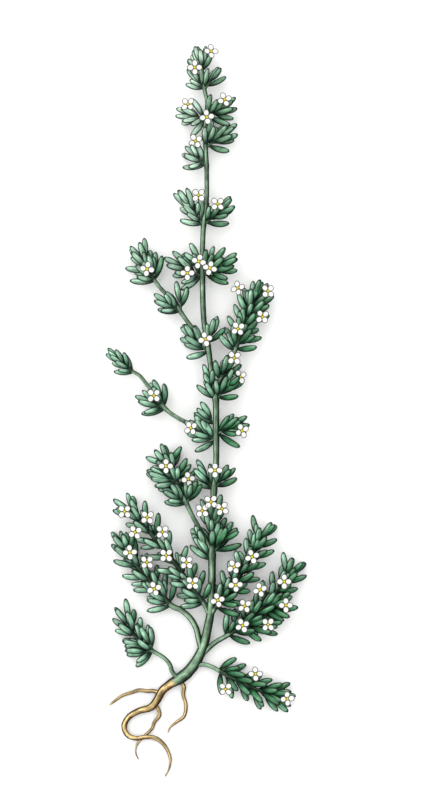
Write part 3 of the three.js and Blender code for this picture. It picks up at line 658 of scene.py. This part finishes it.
def grow_leaves(owner, line, start, end, count, spread, size, narrowing, draw, taken):
    """Leaves along a stretch of a line, from side to side, drawing together towards its end."""
    leaves = []
    for i in range(count):
        share = (i + 0.5) / count
        side = SIDES[i % len(SIDES)]
        raised = MIDDLE_TILT + (OUTER_TILT - MIDDLE_TILT) * abs(side)
        prop = i % PROP_EVERY == PROP_EVERY - 1
        tilt = (PROP_TILT if prop else raised) + LEAF_JITTER * (draw() - 0.5)
        turn = side * spread * (1 - narrowing * share) + LEAF_JITTER * (draw() - 0.5)
        length = LEAF_LENGTH * size * (LEAF_LEAST_LENGTH + LEAF_LENGTH_RANGE * draw())
        place = place_on(line, start, end, share)
        add_if_room(leaves, owner, place, side, turn, tilt, length, size, taken)
    return leaves


def grow_young(owner, line, start, end, count, spread, size, narrowing, draw, taken):
    """Younger leaves between the grown ones, only where they clear everything."""
    leaves = []
    young = round(count * YOUNG_COUNT)
    for i in range(young):
        share = (i + YOUNG_START) / young
        side = YOUNG_SIDES[i % len(YOUNG_SIDES)]
        tilt = YOUNG_TILT + (MIDDLE_TILT - YOUNG_TILT) * (1 - abs(side)) * draw()
        turn = side * spread * (1 - narrowing * share) + YOUNG_JITTER * (draw() - 0.5)
        small = size * (YOUNG_SIZE + YOUNG_SIZE_RANGE * (draw() - 0.5))
        place = place_on(line, start, end, min(share, 1))
        add_if_room(leaves, owner, place, side, turn, tilt, LEAF_LENGTH * small, small, taken)
    return leaves


def bloom_at(owner, places, row, lean_rate):
    """A bloom grows from the nearest of the places, faces up and leans away from there."""
    u, v, spin, *rest = row
    lift = rest[0] if rest else BLOOM_LIFT
    x, y = from_pixel(u, v)
    foot = places[nearest_index(places, x, y)]
    off = math.hypot(x - foot[0], y - foot[1])
    lean = math.radians(min(MOST_LEAN, lean_rate * off))
    away = math.atan2(y - foot[1], x - foot[0])
    normal = np.array([math.sin(lean) * math.cos(away), math.sin(lean) * math.sin(away), math.cos(lean)])
    right = np.cross([0, 1, 0], normal)
    right /= np.linalg.norm(right)
    return {
        "owner": owner, "centre": np.array([x, y, foot[2] + lift]), "foot": np.array(foot[:3]),
        "normal": normal, "right": right, "up": np.cross(normal, right), "spin": math.radians(spin),
    }


def on_bloom(bloom, along, across, height):
    """Points of a bloom's own frame in the plant's: along and across its face, and above it."""
    return (bloom["centre"] + np.multiply.outer(along, bloom["right"])
            + np.multiply.outer(across, bloom["up"]) + np.multiply.outer(height, bloom["normal"]))


def bloom_ring(bloom, angles, reach, height, along=0.0, sideways=0.0):
    """A ring of points round a place on a bloom's face."""
    return on_bloom(bloom, along + reach * np.cos(angles), sideways + reach * np.sin(angles),
                    height + 0 * angles)


def bloom_marks(bloom):
    owner = bloom["owner"]
    marks = [(*bloom["centre"], *CENTRE_MARK, owner, BLOOM, 0)]
    for k in range(4):
        angle = bloom["spin"] + k * math.pi / 2
        reach = PETAL_MARK_REACH * BLOOM_RADIUS
        middle = on_bloom(bloom, reach * math.cos(angle), reach * math.sin(angle), 0.0)
        marks.append((*middle, PETAL_MARK_RADIUS * BLOOM_RADIUS, PETAL_MARK_DEPTH, owner, BLOOM, 0))
    neck = on_bloom(bloom, 0.0, 0.0, -CALYX_DROP)
    for share in STALK_STATIONS:
        at = bloom["foot"] + (neck - bloom["foot"]) * share
        marks.append((*at, CALYX_RADIUS, CALYX_RADIUS, owner, STEM, 0))
    return marks


def plan_plant():
    """Where everything goes: stems, shoots and blooms first, then leaves, then young leaves."""
    taken = Taken()
    entries = []
    for order, (name, part) in enumerate(PLANT.items()):
        line = line_along(part["route"], STEPS)
        tufts = []
        for u, v, to_u, to_v, *_ in part["tufts"]:
            foot = line[nearest_index(line, *from_pixel(u, v))]
            end = from_pixel(to_u, to_v)
            tufts.append([(*foot[:3], SHOOT_RADIUS), (*end, foot[2] + SHOOT_RISE, 0.5 * SHOOT_RADIUS)])
        places = line[:-1] + [p for tuft in tufts for p in along_shoot(*tuft)]
        heads = [[bloom_at(order, places, row, LEAN_RATE)] for row in part["blooms"]]
        heads += [[bloom_at(order, line, row, 0) for row in rows] for rows in part.get("clusters", [])]
        for p in line + [p for tuft in tufts for p in tuft]:
            taken.add([(*p[:3], p[3], p[3], order, STEM, 0)])
        for head in heads:
            for bloom in head:
                taken.add(bloom_marks(bloom))
        entries.append({"name": name, "order": order, "part": part, "line": line, "tufts": tufts,
                        "heads": heads, "leaves": []})
    for grow, seeds in ((grow_leaves, GROWN_SEEDS), (grow_young, YOUNG_SEEDS)):
        for entry in entries:
            order, line = entry["order"], entry["line"]
            draw = draws_for(seeds, order)
            for row, tuft in zip(entry["part"]["tufts"], entry["tufts"]):
                entry["leaves"] += grow(order, tuft, 0, 1, *row[4:], TUFT_NARROWING, draw, taken)
            for row in entry["part"]["sprays"]:
                start, end = spray_ends(line, row)
                entry["leaves"] += grow(order, line, start, end, *row[4:], SPRAY_NARROWING, draw, taken)
    return entries


class Shape:
    """Points, faces, tones and grain of one piece, gathered before its mesh is made."""

    def __init__(self):
        self.points = []
        self.tones = []
        self.grains = []
        self.faces = []
        self.looks = []
        self.count = 0

    def add(self, points, faces, tones, grains, look=0):
        points = np.asarray(points, float).reshape(-1, 3)
        self.points.append(points)
        self.tones.append(np.broadcast_to(tones, (len(points), 3)))
        self.grains.append(np.asarray(grains, float).reshape(-1, 3))
        self.faces += [[i + self.count for i in face] for face in faces]
        self.looks += [look] * len(faces)
        self.count += len(points)

    def make(self, name, materials):
        mesh = bpy.data.meshes.new(name)
        mesh.from_pydata((np.vstack(self.points) * METRES).tolist(), [], self.faces)
        mesh.polygons.foreach_set("use_smooth", [True] * len(self.faces))
        mesh.polygons.foreach_set("material_index", self.looks)
        tones = np.hstack([np.vstack(self.tones), np.ones((self.count, 1))])
        tint = mesh.color_attributes.new("tint", "FLOAT_COLOR", "POINT")
        tint.data.foreach_set("color", tones.astype(np.float32).ravel())
        grain = mesh.attributes.new("grain", "FLOAT_VECTOR", "POINT")
        grain.data.foreach_set("vector", np.vstack(self.grains).astype(np.float32).ravel())
        mesh.update()
        for material in materials:
            mesh.materials.append(material)
        return put_in_scene(name, mesh)


def wall_faces(rings, around, close_start=True, close_end=True):
    """Faces between rings of points, with flat ends."""
    faces = []
    for r in range(rings - 1):
        for k in range(around):
            a, b = r * around + k, r * around + (k + 1) % around
            faces.append([a, b, b + around, a + around])
    if close_start:
        faces.append(list(range(around))[::-1])
    if close_end:
        faces.append([(rings - 1) * around + k for k in range(around)])
    return faces


def covered_share(line, sprays):
    """1 where a spray's leaves hide the stem, and 0 elsewhere, for each point of its line."""
    share = np.zeros(len(line))
    for spray in sprays:
        start, end = spray_ends(line, spray)
        share[start + 2:end + 1] = 1
    return share


def tube_rings(line, around, relief):
    """Rings of points round a line, kept off the floor, with each point's outward direction."""
    middle, radius = line[:, :3], line[:, 3]
    ahead = np.gradient(middle, axis=0)
    ahead /= np.linalg.norm(ahead, axis=1)[:, None]
    side = np.cross([0, 0, 1], ahead)
    side /= np.linalg.norm(side, axis=1)[:, None]
    up = np.cross(ahead, side)
    angles = turns_round(around)
    out = side[:, None, :] * np.cos(angles)[None, :, None] + up[:, None, :] * np.sin(angles)[None, :, None]
    points = middle[:, None, :] + out * (radius[:, None] * relief)[:, :, None]
    points[:, :, 2] = np.maximum(points[:, :, 2], 0.0)
    return points, out


def rounded(line):
    """The line with one more narrow ring beyond each end."""
    ends = []
    for at, beside in ((line[0], line[1]), (line[-1], line[-2])):
        away = at[:3] - beside[:3]
        away = away / np.linalg.norm(away)
        ends.append(np.append(at[:3] + END_SHARE * at[3] * away, END_SHARE * at[3]))
    return np.vstack([ends[0], line, ends[1]])


def lengths_along(line):
    return np.concatenate([[0], np.cumsum(np.linalg.norm(np.diff(line[:, :3], axis=0), axis=1))])


def tube_grains(line, angles, offset):
    """How far along a tube and round it each point lies, and an offset of the tube's own."""
    spread = np.ones(len(angles))[None, :]
    return np.stack([lengths_along(line)[:, None] * spread, line[:, 3][:, None] * angles[None, :],
                     offset * np.ones((len(line), len(angles)))], axis=-1)


def add_rings(shape, rows, angles, first, last, turning, look=0, stretch=1, offset=0.0):
    """A closed piece made of rings, its tone turning from the first to the last as it goes along them."""
    share = np.repeat(np.linspace(0, 1, len(rows)), len(angles))
    grains = np.stack([stretch * share, np.tile(angles, len(rows)), np.full(len(share), offset)], axis=-1)
    tones = blend_tones(paint(first), paint(last), turning(share))
    shape.add(np.concatenate(rows), wall_faces(len(rows), len(angles)), tones, grains, look)


def stem_tones(out, angles):
    """Painted light and shade: pale on the side towards the light at the upper left, painted shade towards
    the lower right, with thin dark edges.
    """
    away = out[:, :, 0] * STEM_AWAY_FROM_LIGHT[0] + out[:, :, 1] * STEM_AWAY_FROM_LIGHT[1]
    tones = blend_tones(paint(STEM_LIGHT), paint(STEM_DEEP), ramp(away, *STEM_SIDE_SHADE_RANGE))
    edge = STEM_EDGE * ramp(np.abs(np.cos(angles)), *STEM_EDGE_RANGE)
    return shift_towards(tones, paint(STEM_LINE), edge[None, :])


def add_stem(shape, line, around, seed, joints=(), covered=None):
    """A ribbed green stem, a little swollen and darker at its joints, with painted shade where leaves cover
    it.
    """
    line = rounded(line)
    covered = np.zeros(len(line)) if covered is None else np.concatenate([[0], covered, [1]])
    swell = np.zeros(len(line))
    for joint in joints:
        swell = np.maximum(swell, np.exp(-(np.linalg.norm(line[:, :3] - joint, axis=1) / JOINT_REACH) ** 2))
    line[:, 3] *= 1 + JOINT_SWELL * swell
    angles = turns_round(around)
    ribs = 1 + STEM_RIB * np.cos(STEM_RIBS * angles + seed)[None, :] * np.ones(len(line))[:, None]
    points, out = tube_rings(line, around, ribs)
    # Painted shade where leaves cover the stem, and a darker ring at each joint.
    shade = COVERED_SHADE * covered + JOINT_SHADE * swell * (1 - covered)
    tones = shift_towards(stem_tones(out, angles), paint(LEAF_SHADE), shade[:, None])
    shape.add(points, wall_faces(len(line), around), tones.reshape(-1, 3),
              tube_grains(line, angles, seed), look=1)


def leaf_tones(leaf, side, across, number):
    """Painted light and shade on a leaf: one heading right, away from the light, is painted darker as shade
    and one heading left pale, with a random sway; the side towards the light gets a painted highlight, the
    far side and the foot get painted shade, and the margin gets a dark line.
    """
    shares = np.array(LEAF_RINGS)
    draw = draws_for(LEAF_SEEDS, number)
    draw()
    heading = leaf["heading"] + leaf["turn"]
    # Painted shade by heading: leaves heading right take the darker tone, with a random sway.
    heading_shade = float(ramp(math.cos(heading) + HEADING_SHADE_SWAY * (draw() - 0.5), *HEADING_SHADE_RANGE))
    body = blend_tones(paint(PALE_LEAF), paint(DEEP_LEAF), LEAST_HEADING_SHADE + MOST_HEADING_SHADE * heading_shade)
    body = body * (LEAST_BRIGHT + MOST_BRIGHTER * draw())
    paler = PALER * ramp(leaf["point"][1], *PALER_RANGE) * (1 - SHADED_PALER_LOSS * heading_shade)
    body = shift_towards(body, paint(LIT_LEAF), paler)
    # Painted highlight on the side towards the light, near the tip.
    lit = side @ TOWARDS_LIGHT * across
    highlight = ((PAINTED_HIGHLIGHT - SHADED_HIGHLIGHT_LOSS * heading_shade) * ramp(lit, *HIGHLIGHT_RANGE)[None, :]
            * ramp(shares, *HIGHLIGHT_ALONG)[:, None])
    body = shift_towards(body, paint(LIT_LEAF), highlight)
    # Painted shade on the far side from the light and at the leaf's foot.
    far = FAR_SIDE_SHADE * ramp(-lit, *FAR_SIDE_RANGE)[None, :]
    foot = ROOT_SHADE * (1 - ramp(shares, *ROOT_SHADE_RANGE))[:, None]
    tones = shift_towards(body, paint(LEAF_SHADE), np.clip(far + foot, 0, MOST_SHADE))
    margin = np.maximum(MARGIN * ramp(np.abs(across), *MARGIN_RANGE)[None, :],
                        TIP_MARGIN * ramp(shares, *TIP_RANGE)[:, None])
    return shift_towards(tones, paint(LEAF_LINE), margin)


def add_leaf(shape, leaf, number):
    """A fleshy leaf with a faint groove along its upper face."""
    heading = leaf["heading"] + leaf["turn"]
    side = np.array([-math.sin(heading), math.cos(heading), 0])
    near, far = (np.array(leaf_point(leaf, s)) for s in LEAF_CHORD)
    ahead = far - near
    ahead /= np.linalg.norm(ahead)
    up = np.cross(ahead, side)
    angles = np.radians(LEAF_ANGLES)
    across, over = np.cos(angles), np.sin(angles)
    groove = GROOVE_DEPTH * np.exp(-(across / GROOVE_WIDTH) ** 2) * (over > 0)
    height = np.where(over > 0, over, LEAF_UNDERSIDE * over) - groove
    shares = np.array(LEAF_RINGS)
    middle = np.array([leaf_point(leaf, s) for s in shares])
    full = np.array([leaf_fullness(s) for s in shares]) * leaf["size"]
    aside = LEAF_HALF_WIDTH * full[:, None] * across
    points = (middle[:, None, :] + side * aside[:, :, None]
              + up * (LEAF_HALF_THICKNESS * full[:, None] * height)[:, :, None])
    points[:, :, 2] = np.maximum(points[:, :, 2], LEAF_CLEARANCE)
    around = len(angles)
    last = (len(shares) - 1) * around
    faces = wall_faces(len(shares), around, close_end=False)
    faces += [[last + k, last + (k + 1) % around, last + around] for k in range(around)]
    offset = LEAF_OFFSET * number
    grains = np.stack([
        np.broadcast_to(leaf["length"] * shares[:, None], aside.shape), aside, np.full(aside.shape, offset),
    ], axis=-1)
    shape.add(np.vstack([points.reshape(-1, 3), leaf_point(leaf, 1)]), faces,
              np.vstack([leaf_tones(leaf, side, across, number).reshape(-1, 3), paint(LEAF_LINE)]),
              np.vstack([grains.reshape(-1, 3), [leaf["length"], 0, offset]]))


def add_stalk(shape, bloom, seed):
    """A bloom's stalk and its green calyx with four lobes under the petals."""
    foot, neck = bloom["foot"], on_bloom(bloom, 0.0, 0.0, -CALYX_DROP)
    low = on_bloom(bloom, 0.0, 0.0, -CALYX_DROP - STALK_DROP)
    bow = STALK_STRAIGHT * (neck + foot) / 2 + STALK_BOW * low
    line = np.array([(1 - t) ** 2 * foot + 2 * t * (1 - t) * bow + t * t * neck
                     for t in np.linspace(0, 1, STALK_RINGS)])
    line = np.hstack([line, np.full((len(line), 1), STALK_RADIUS)])
    add_stem(shape, line, AROUND_STALK, seed)
    angles = turns_round(AROUND_STEM)
    lobes = np.cos(4 * (angles - bloom["spin"] - math.pi / 4))
    rows = [bloom_ring(bloom, angles, radius + flare * lobes, height + rise * lobes)
            for radius, height, flare, rise in CALYX_RINGS]
    add_rings(shape, rows, angles, DEEP_LEAF, PALE_LEAF, lambda share: CALYX_PALE * share,
              stretch=CALYX_STRETCH, offset=float(seed))


def petal_faces(rings, around):
    """Faces of a petal's two sides, each a middle point and rings round it, and of its edge."""
    size = 1 + rings * around
    faces = []
    for k in range(around):
        after = (k + 1) % around
        faces.append([0, 1 + k, 1 + after])
        faces.append([size, size + 1 + after, size + 1 + k])
        for r in range(rings - 1):
            a, b = 1 + r * around + k, 1 + r * around + after
            faces.append([a, a + around, b + around, b])
            faces.append([size + a, size + b, size + b + around, size + a + around])
        a, b = 1 + (rings - 1) * around + k, 1 + (rings - 1) * around + after
        faces.append([a, size + a, size + b, b])
    return faces


def add_petal(shape, bloom, turn, number):
    """One rounded petal: thin, cupped like a spoon, with a fine brownish rim."""
    draw = draws_for(PETAL_SEEDS, number)
    draw()
    reach = BLOOM_RADIUS * (PETAL_LEAST + PETAL_LENGTH_RANGE * draw())
    wide = PETAL_HALF_WIDTH * BLOOM_RADIUS * (PETAL_LEAST + PETAL_WIDTH_RANGE * draw())
    droop = PETAL_DROOP_RANGE * (draw() - 0.5)
    angles = turns_round(AROUND_PETAL)
    shares = np.array(PETAL_RINGS[1:])
    x = reach * (PETAL_MIDDLE + PETAL_HALF_LENGTH * shares[:, None] * np.cos(angles))
    y = wide * shares[:, None] * np.sin(angles) * (1 + PETAL_BROADER_TIP * np.cos(angles))
    x = np.concatenate([[PETAL_MIDDLE * reach], x.ravel()])
    y = np.concatenate([[0.0], y.ravel()])
    level = np.concatenate([[0.0], np.repeat(shares, AROUND_PETAL)])
    ripple = PETAL_RIPPLE * np.sin(PETAL_RIPPLES * np.arctan2(y, x - PETAL_MIDDLE * reach) + number)
    height = (PETAL_FOOT + (PETAL_CUP_ALONG + droop) * (x / reach) ** 2
              + PETAL_CUP_ACROSS * (y / wide) ** 2 + ripple * (y / wide) ** 2)
    thick = PETAL_THICKNESS * np.sqrt(np.maximum(0, 1 - level ** 8)) + PETAL_EDGE
    along = x * math.cos(turn) - y * math.sin(turn)
    sideways = x * math.sin(turn) + y * math.cos(turn)
    top = on_bloom(bloom, along, sideways, height + thick / 2)
    low = on_bloom(bloom, along, sideways, height - thick / 2)
    throat = THROAT * (1 - ramp(x / reach, *THROAT_RANGE))
    tones = blend_tones(paint(PETAL_WHITE), paint(PETAL_THROAT), throat)
    tones = shift_towards(tones, paint(PETAL_LINE), PETAL_RIM * ramp(level, *PETAL_RIM_RANGE))
    grains = np.stack([x, y, np.full(len(x), PETAL_OFFSET * number)], axis=-1)
    shape.add(np.vstack([top, low]), petal_faces(len(shares), AROUND_PETAL),
              np.vstack([tones, tones]), np.vstack([grains, grains]))


def add_knob(shape, bloom, along, sideways, knob, tone):
    """A small rounded knob on a bloom's face, with a dark rim."""
    height, radius, tall = knob
    angles = turns_round(AROUND_DOME)
    rows = [bloom_ring(bloom, angles, radius * math.cos(slope), height + tall * math.sin(slope),
                       along, sideways)
            for slope in np.radians(DOME_SLOPES)]
    add_rings(shape, rows, angles, CENTRE_RING, tone, lambda share: ramp(share, *KNOB_RANGE), look=1)


def add_centre(shape, bloom):
    """The yellow middle: a throat, four anthers and a style, on a short tube down to the calyx."""
    angles = turns_round(AROUND_CENTRE)
    rows = [bloom_ring(bloom, angles, radius, height) for radius, height in CENTRE_RINGS]
    add_rings(shape, rows, angles, PETAL_THROAT, CENTRE_RING,
              lambda share: ramp(share, *CENTRE_RING_RANGE), look=1)
    add_knob(shape, bloom, 0.0, 0.0, DISC_KNOB, CENTRE_YELLOW)
    for k in range(4):
        angle = bloom["spin"] + math.pi / 4 + k * math.pi / 2
        add_knob(shape, bloom, ANTHER_REACH * math.cos(angle), ANTHER_REACH * math.sin(angle),
                 ANTHER_KNOB, CENTRE_YELLOW)
    add_knob(shape, bloom, 0.0, 0.0, STYLE_KNOB, PETAL_THROAT)


def root_relief(length, angles, seed):
    """Wrinkles that wander round a root as they run along it, as a factor on its radius."""
    draw = draws_for(ROOT_SEEDS, seed)
    relief = np.ones((len(length), len(angles)))
    for waves in ROOT_WAVES:
        phase, pace = MOST_PHASE * draw(), ROOT_PACE + ROOT_PACE_RANGE * draw()
        wander = np.sin(length / pace)[:, None] * ROOT_TWIST
        relief += ROOT_WRINKLE * np.sin(waves * angles[None, :] + phase + wander)
    return relief


def add_root(shape, line, around, seed, green_length=0.0):
    """A root of tan bark, wrinkled along its length, with painted shade towards the lower right and in its
    furrows.
    """
    line = rounded(line)
    length = lengths_along(line)
    angles = turns_round(around)
    relief = root_relief(length, angles, seed)
    points, out = tube_rings(line, around, relief)
    # Painted shade on the side away from the light and in the furrows between wrinkles.
    away = out[:, :, 0] * ROOT_AWAY_FROM_LIGHT[0] + out[:, :, 1] * ROOT_AWAY_FROM_LIGHT[1]
    dark = ramp(away, *ROOT_SIDE_SHADE_RANGE) + ROOT_FURROW_SHADE * np.maximum(1 - relief, 0)
    tones = blend_tones(paint(ROOT_LIGHT), paint(ROOT_DEEP), dark)
    edge = ROOT_EDGE * ramp(np.abs(np.cos(angles)), *ROOT_EDGE_RANGE)
    tones = shift_towards(tones, paint(ROOT_LINE), edge[None, :])
    if green_length:
        green = 1 - ramp(length, green_length, green_length + GREEN_FADE)
        tones = shift_towards(tones, stem_tones(out, angles), green[:, None])
    shape.add(points, wall_faces(len(line), around), tones.reshape(-1, 3),
              tube_grains(line, angles, ROOT_OFFSET * seed))


def shader(name, roughness, streak_scale, streak_depth, bump_mm, spots, sheen=0.0):
    """A tinted surface with streaks along the grain, faint blotches, uneven gloss and a fine relief."""
    material = bpy.data.materials.new(name)
    material.use_nodes = True
    tree = material.node_tree
    tree.nodes.clear()

    def node(kind, sockets=None, **values):
        made = tree.nodes.new(kind)
        for key, value in values.items():
            setattr(made, key, value)
        for key, value in (sockets or {}).items():
            made.inputs[key].default_value = value
        return made

    def join(start, end):
        tree.links.new(start, end)

    def round_one(noise, depth):
        """The noise as a factor that runs from less than one to more than one."""
        factor = node("ShaderNodeMapRange", {
            "From Min": NOISE_LOW, "From Max": NOISE_HIGH, "To Min": 1 - depth, "To Max": 1 + depth,
        })
        join(noise.outputs["Fac"], factor.inputs["Value"])
        return factor.outputs["Result"]

    surface = node("ShaderNodeBsdfPrincipled", {"Specular IOR Level": SPECULAR, "Sheen Weight": sheen})
    output = node("ShaderNodeOutputMaterial")
    join(surface.outputs["BSDF"], output.inputs["Surface"])
    tint = node("ShaderNodeAttribute", attribute_name="tint")
    grain = node("ShaderNodeAttribute", attribute_name="grain")
    stretch = node("ShaderNodeMapping", {"Scale": streak_scale})
    join(grain.outputs["Vector"], stretch.inputs["Vector"])
    streaks = node("ShaderNodeTexNoise", {"Scale": 1.0, "Detail": STREAK_DETAIL})
    join(stretch.outputs["Vector"], streaks.inputs["Vector"])
    place = node("ShaderNodeTexCoord")
    blotches = node("ShaderNodeTexNoise", {"Scale": spots, "Detail": BLOTCH_DETAIL})
    join(place.outputs["Object"], blotches.inputs["Vector"])

    both = node("ShaderNodeMath", operation="MULTIPLY")
    join(round_one(streaks, streak_depth), both.inputs[0])
    join(round_one(blotches, BLOTCH_SHARE * streak_depth), both.inputs[1])
    colour = node("ShaderNodeVectorMath", operation="SCALE")
    join(tint.outputs["Color"], colour.inputs[0])
    join(both.outputs["Value"], colour.inputs["Scale"])
    join(colour.outputs["Vector"], surface.inputs["Base Color"])

    gloss = node("ShaderNodeMapRange", {
        "To Min": roughness - GLOSS_BELOW, "To Max": roughness + GLOSS_ABOVE,
    })
    join(blotches.outputs["Fac"], gloss.inputs["Value"])
    join(gloss.outputs["Result"], surface.inputs["Roughness"])
    relief = node("ShaderNodeBump", {"Strength": BUMP_STRENGTH, "Distance": bump_mm * METRES})
    join(streaks.outputs["Fac"], relief.inputs["Height"])
    join(relief.outputs["Normal"], surface.inputs["Normal"])
    return material


# The camera, straight above, with the plant at the photograph's place and scale.
VIEW_MIDDLE_PX = (211.5, 400)
VIEW_HEIGHT_MM = 480
VIEW_LEVEL_MM = 9
LENS_MM = 120
SENSOR_MM = 36

camera_data = bpy.data.cameras.new("camera")
camera_data.lens = LENS_MM
camera_data.sensor_width = SENSOR_MM
camera = put_in_scene("camera", camera_data)
middle_x, middle_y = from_pixel(*VIEW_MIDDLE_PX)
distance = VIEW_HEIGHT_MM * LENS_MM / SENSOR_MM + VIEW_LEVEL_MM
camera.location = (middle_x * METRES, middle_y * METRES, distance * METRES)
bpy.context.scene.camera = camera

# Roughness, stretch of the grain, depth of its streaks, relief in millimetres, fineness of the blotches.
leaf_skin = shader("leaf_skin", 0.5, (0.16, 1.1, 1.0), 0.42, 0.06, 260)
stem_skin = shader("stem_skin", 0.55, (0.07, 0.9, 1.0), 0.6, 0.08, 240)
petal_skin = shader("petal_skin", 0.55, (0.5, 3.0, 1.0), 0.02, 0.03, 300, sheen=0.1)
centre_skin = shader("centre_skin", 0.5, (2.0, 2.0, 1.0), 0.08, 0.03, 600)
root_bark = shader("root_bark", 0.75, (0.09, 0.9, 1.0), 0.7, 0.16, 320)

# The stems, each with its shoots, leaves, stalks and calyxes.
entries = plan_plant()
number = 0
for entry in entries:
    shape = Shape()
    part = entry["part"]
    line = smooth_line(route_points(part["route"]), STEM_STEPS)
    joints = [tuft[0][:3] for tuft in entry["tufts"]]
    add_stem(shape, line, AROUND_STEM, entry["order"], joints, covered_share(line, part["sprays"]))
    for k, tuft in enumerate(entry["tufts"]):
        foot, end = np.array(tuft[0]), np.array(tuft[1])
        shoot = np.array([foot + (end - foot) * t for t in np.linspace(0, 1, SHOOT_RINGS)])
        # The shoots get painted shade, as if leaves covered them.
        add_stem(shape, shoot, AROUND_SHOOT, k, covered=np.full(SHOOT_RINGS, SHOOT_COVERED))
    for leaf in entry["leaves"]:
        add_leaf(shape, leaf, number)
        number += 1
    for head in entry["heads"]:
        for bloom in head:
            add_stalk(shape, bloom, number)
            number += 1
    piece = shape.make(entry["name"] + "_leafy", [leaf_skin, stem_skin])
    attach(piece, "root")
    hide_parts(entry["name"])

# The blooms' petals and middles.
heads = [head for entry in entries for head in entry["heads"]]
for place, head in enumerate(heads, start=1):
    shape = Shape()
    for bloom in head:
        for k in range(4):
            number += 1
            add_petal(shape, bloom, bloom["spin"] + k * math.pi / 2, number)
        add_centre(shape, bloom)
    piece = shape.make(f"petals_{place:02d}", [petal_skin, centre_skin])
    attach(piece, "root")
    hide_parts(f"bloom_{place:02d}")

# The taproot and its rootlets.
shape = Shape()
for seed, route in enumerate(ROOT.values()):
    line = route_points(route)
    if seed == 0:
        line = route_points([INSIDE_COLLAR]) + line
        add_root(shape, smooth_line(line, STEM_STEPS), AROUND_TAPROOT, seed, GREEN_LENGTH)
    else:
        add_root(shape, smooth_line(line, STEM_STEPS), AROUND_ROOTLET, seed)
roots = shape.make("roots", [root_bark])
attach(roots, "root")
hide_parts("taproot")

# The floor and the light.
FLOOR_HALF_MM = 3000
FLOOR_DROP_MM = 0.1
FLOOR_TONE = (250, 250, 249)
FLOOR_ROUGHNESS = 0.9
KEY_PLACE = (-0.9, 0.9, 1.3)
KEY_SIZE = 1.6
KEY_WATTS = 10
SKY_STRENGTH = 1.3

floor_mesh = bpy.data.meshes.new("floor")
corners = [(x * FLOOR_HALF_MM * METRES, y * FLOOR_HALF_MM * METRES, -FLOOR_DROP_MM * METRES)
           for x, y in ((-1, -1), (1, -1), (1, 1), (-1, 1))]
floor_mesh.from_pydata(corners, [], [[0, 1, 2, 3]])
pale_floor = bpy.data.materials.new("pale_floor")
pale_floor.use_nodes = True
surface = pale_floor.node_tree.nodes["Principled BSDF"]
surface.inputs["Base Color"].default_value = (*paint(FLOOR_TONE), 1)
surface.inputs["Roughness"].default_value = FLOOR_ROUGHNESS
floor_mesh.materials.append(pale_floor)
floor = put_in_scene("floor", floor_mesh)

# A square softbox that faces the origin.
key_data = bpy.data.lights.new("key_light", "AREA")
key_data.shape = "SQUARE"
key_data.size = KEY_SIZE
key_data.energy = KEY_WATTS
key = put_in_scene("key_light", key_data)
key.location = KEY_PLACE
key.rotation_mode = "QUATERNION"
key.rotation_quaternion = Vector(KEY_PLACE).to_track_quat("Z", "Y")

world = bpy.data.worlds.new("studio")
world.use_nodes = True
sky = world.node_tree.nodes["Background"]
sky.inputs["Color"].default_value = (1, 1, 1, 1)
sky.inputs["Strength"].default_value = SKY_STRENGTH
bpy.context.scene.world = world
bpy.context.scene.view_settings.view_transform = "Standard"
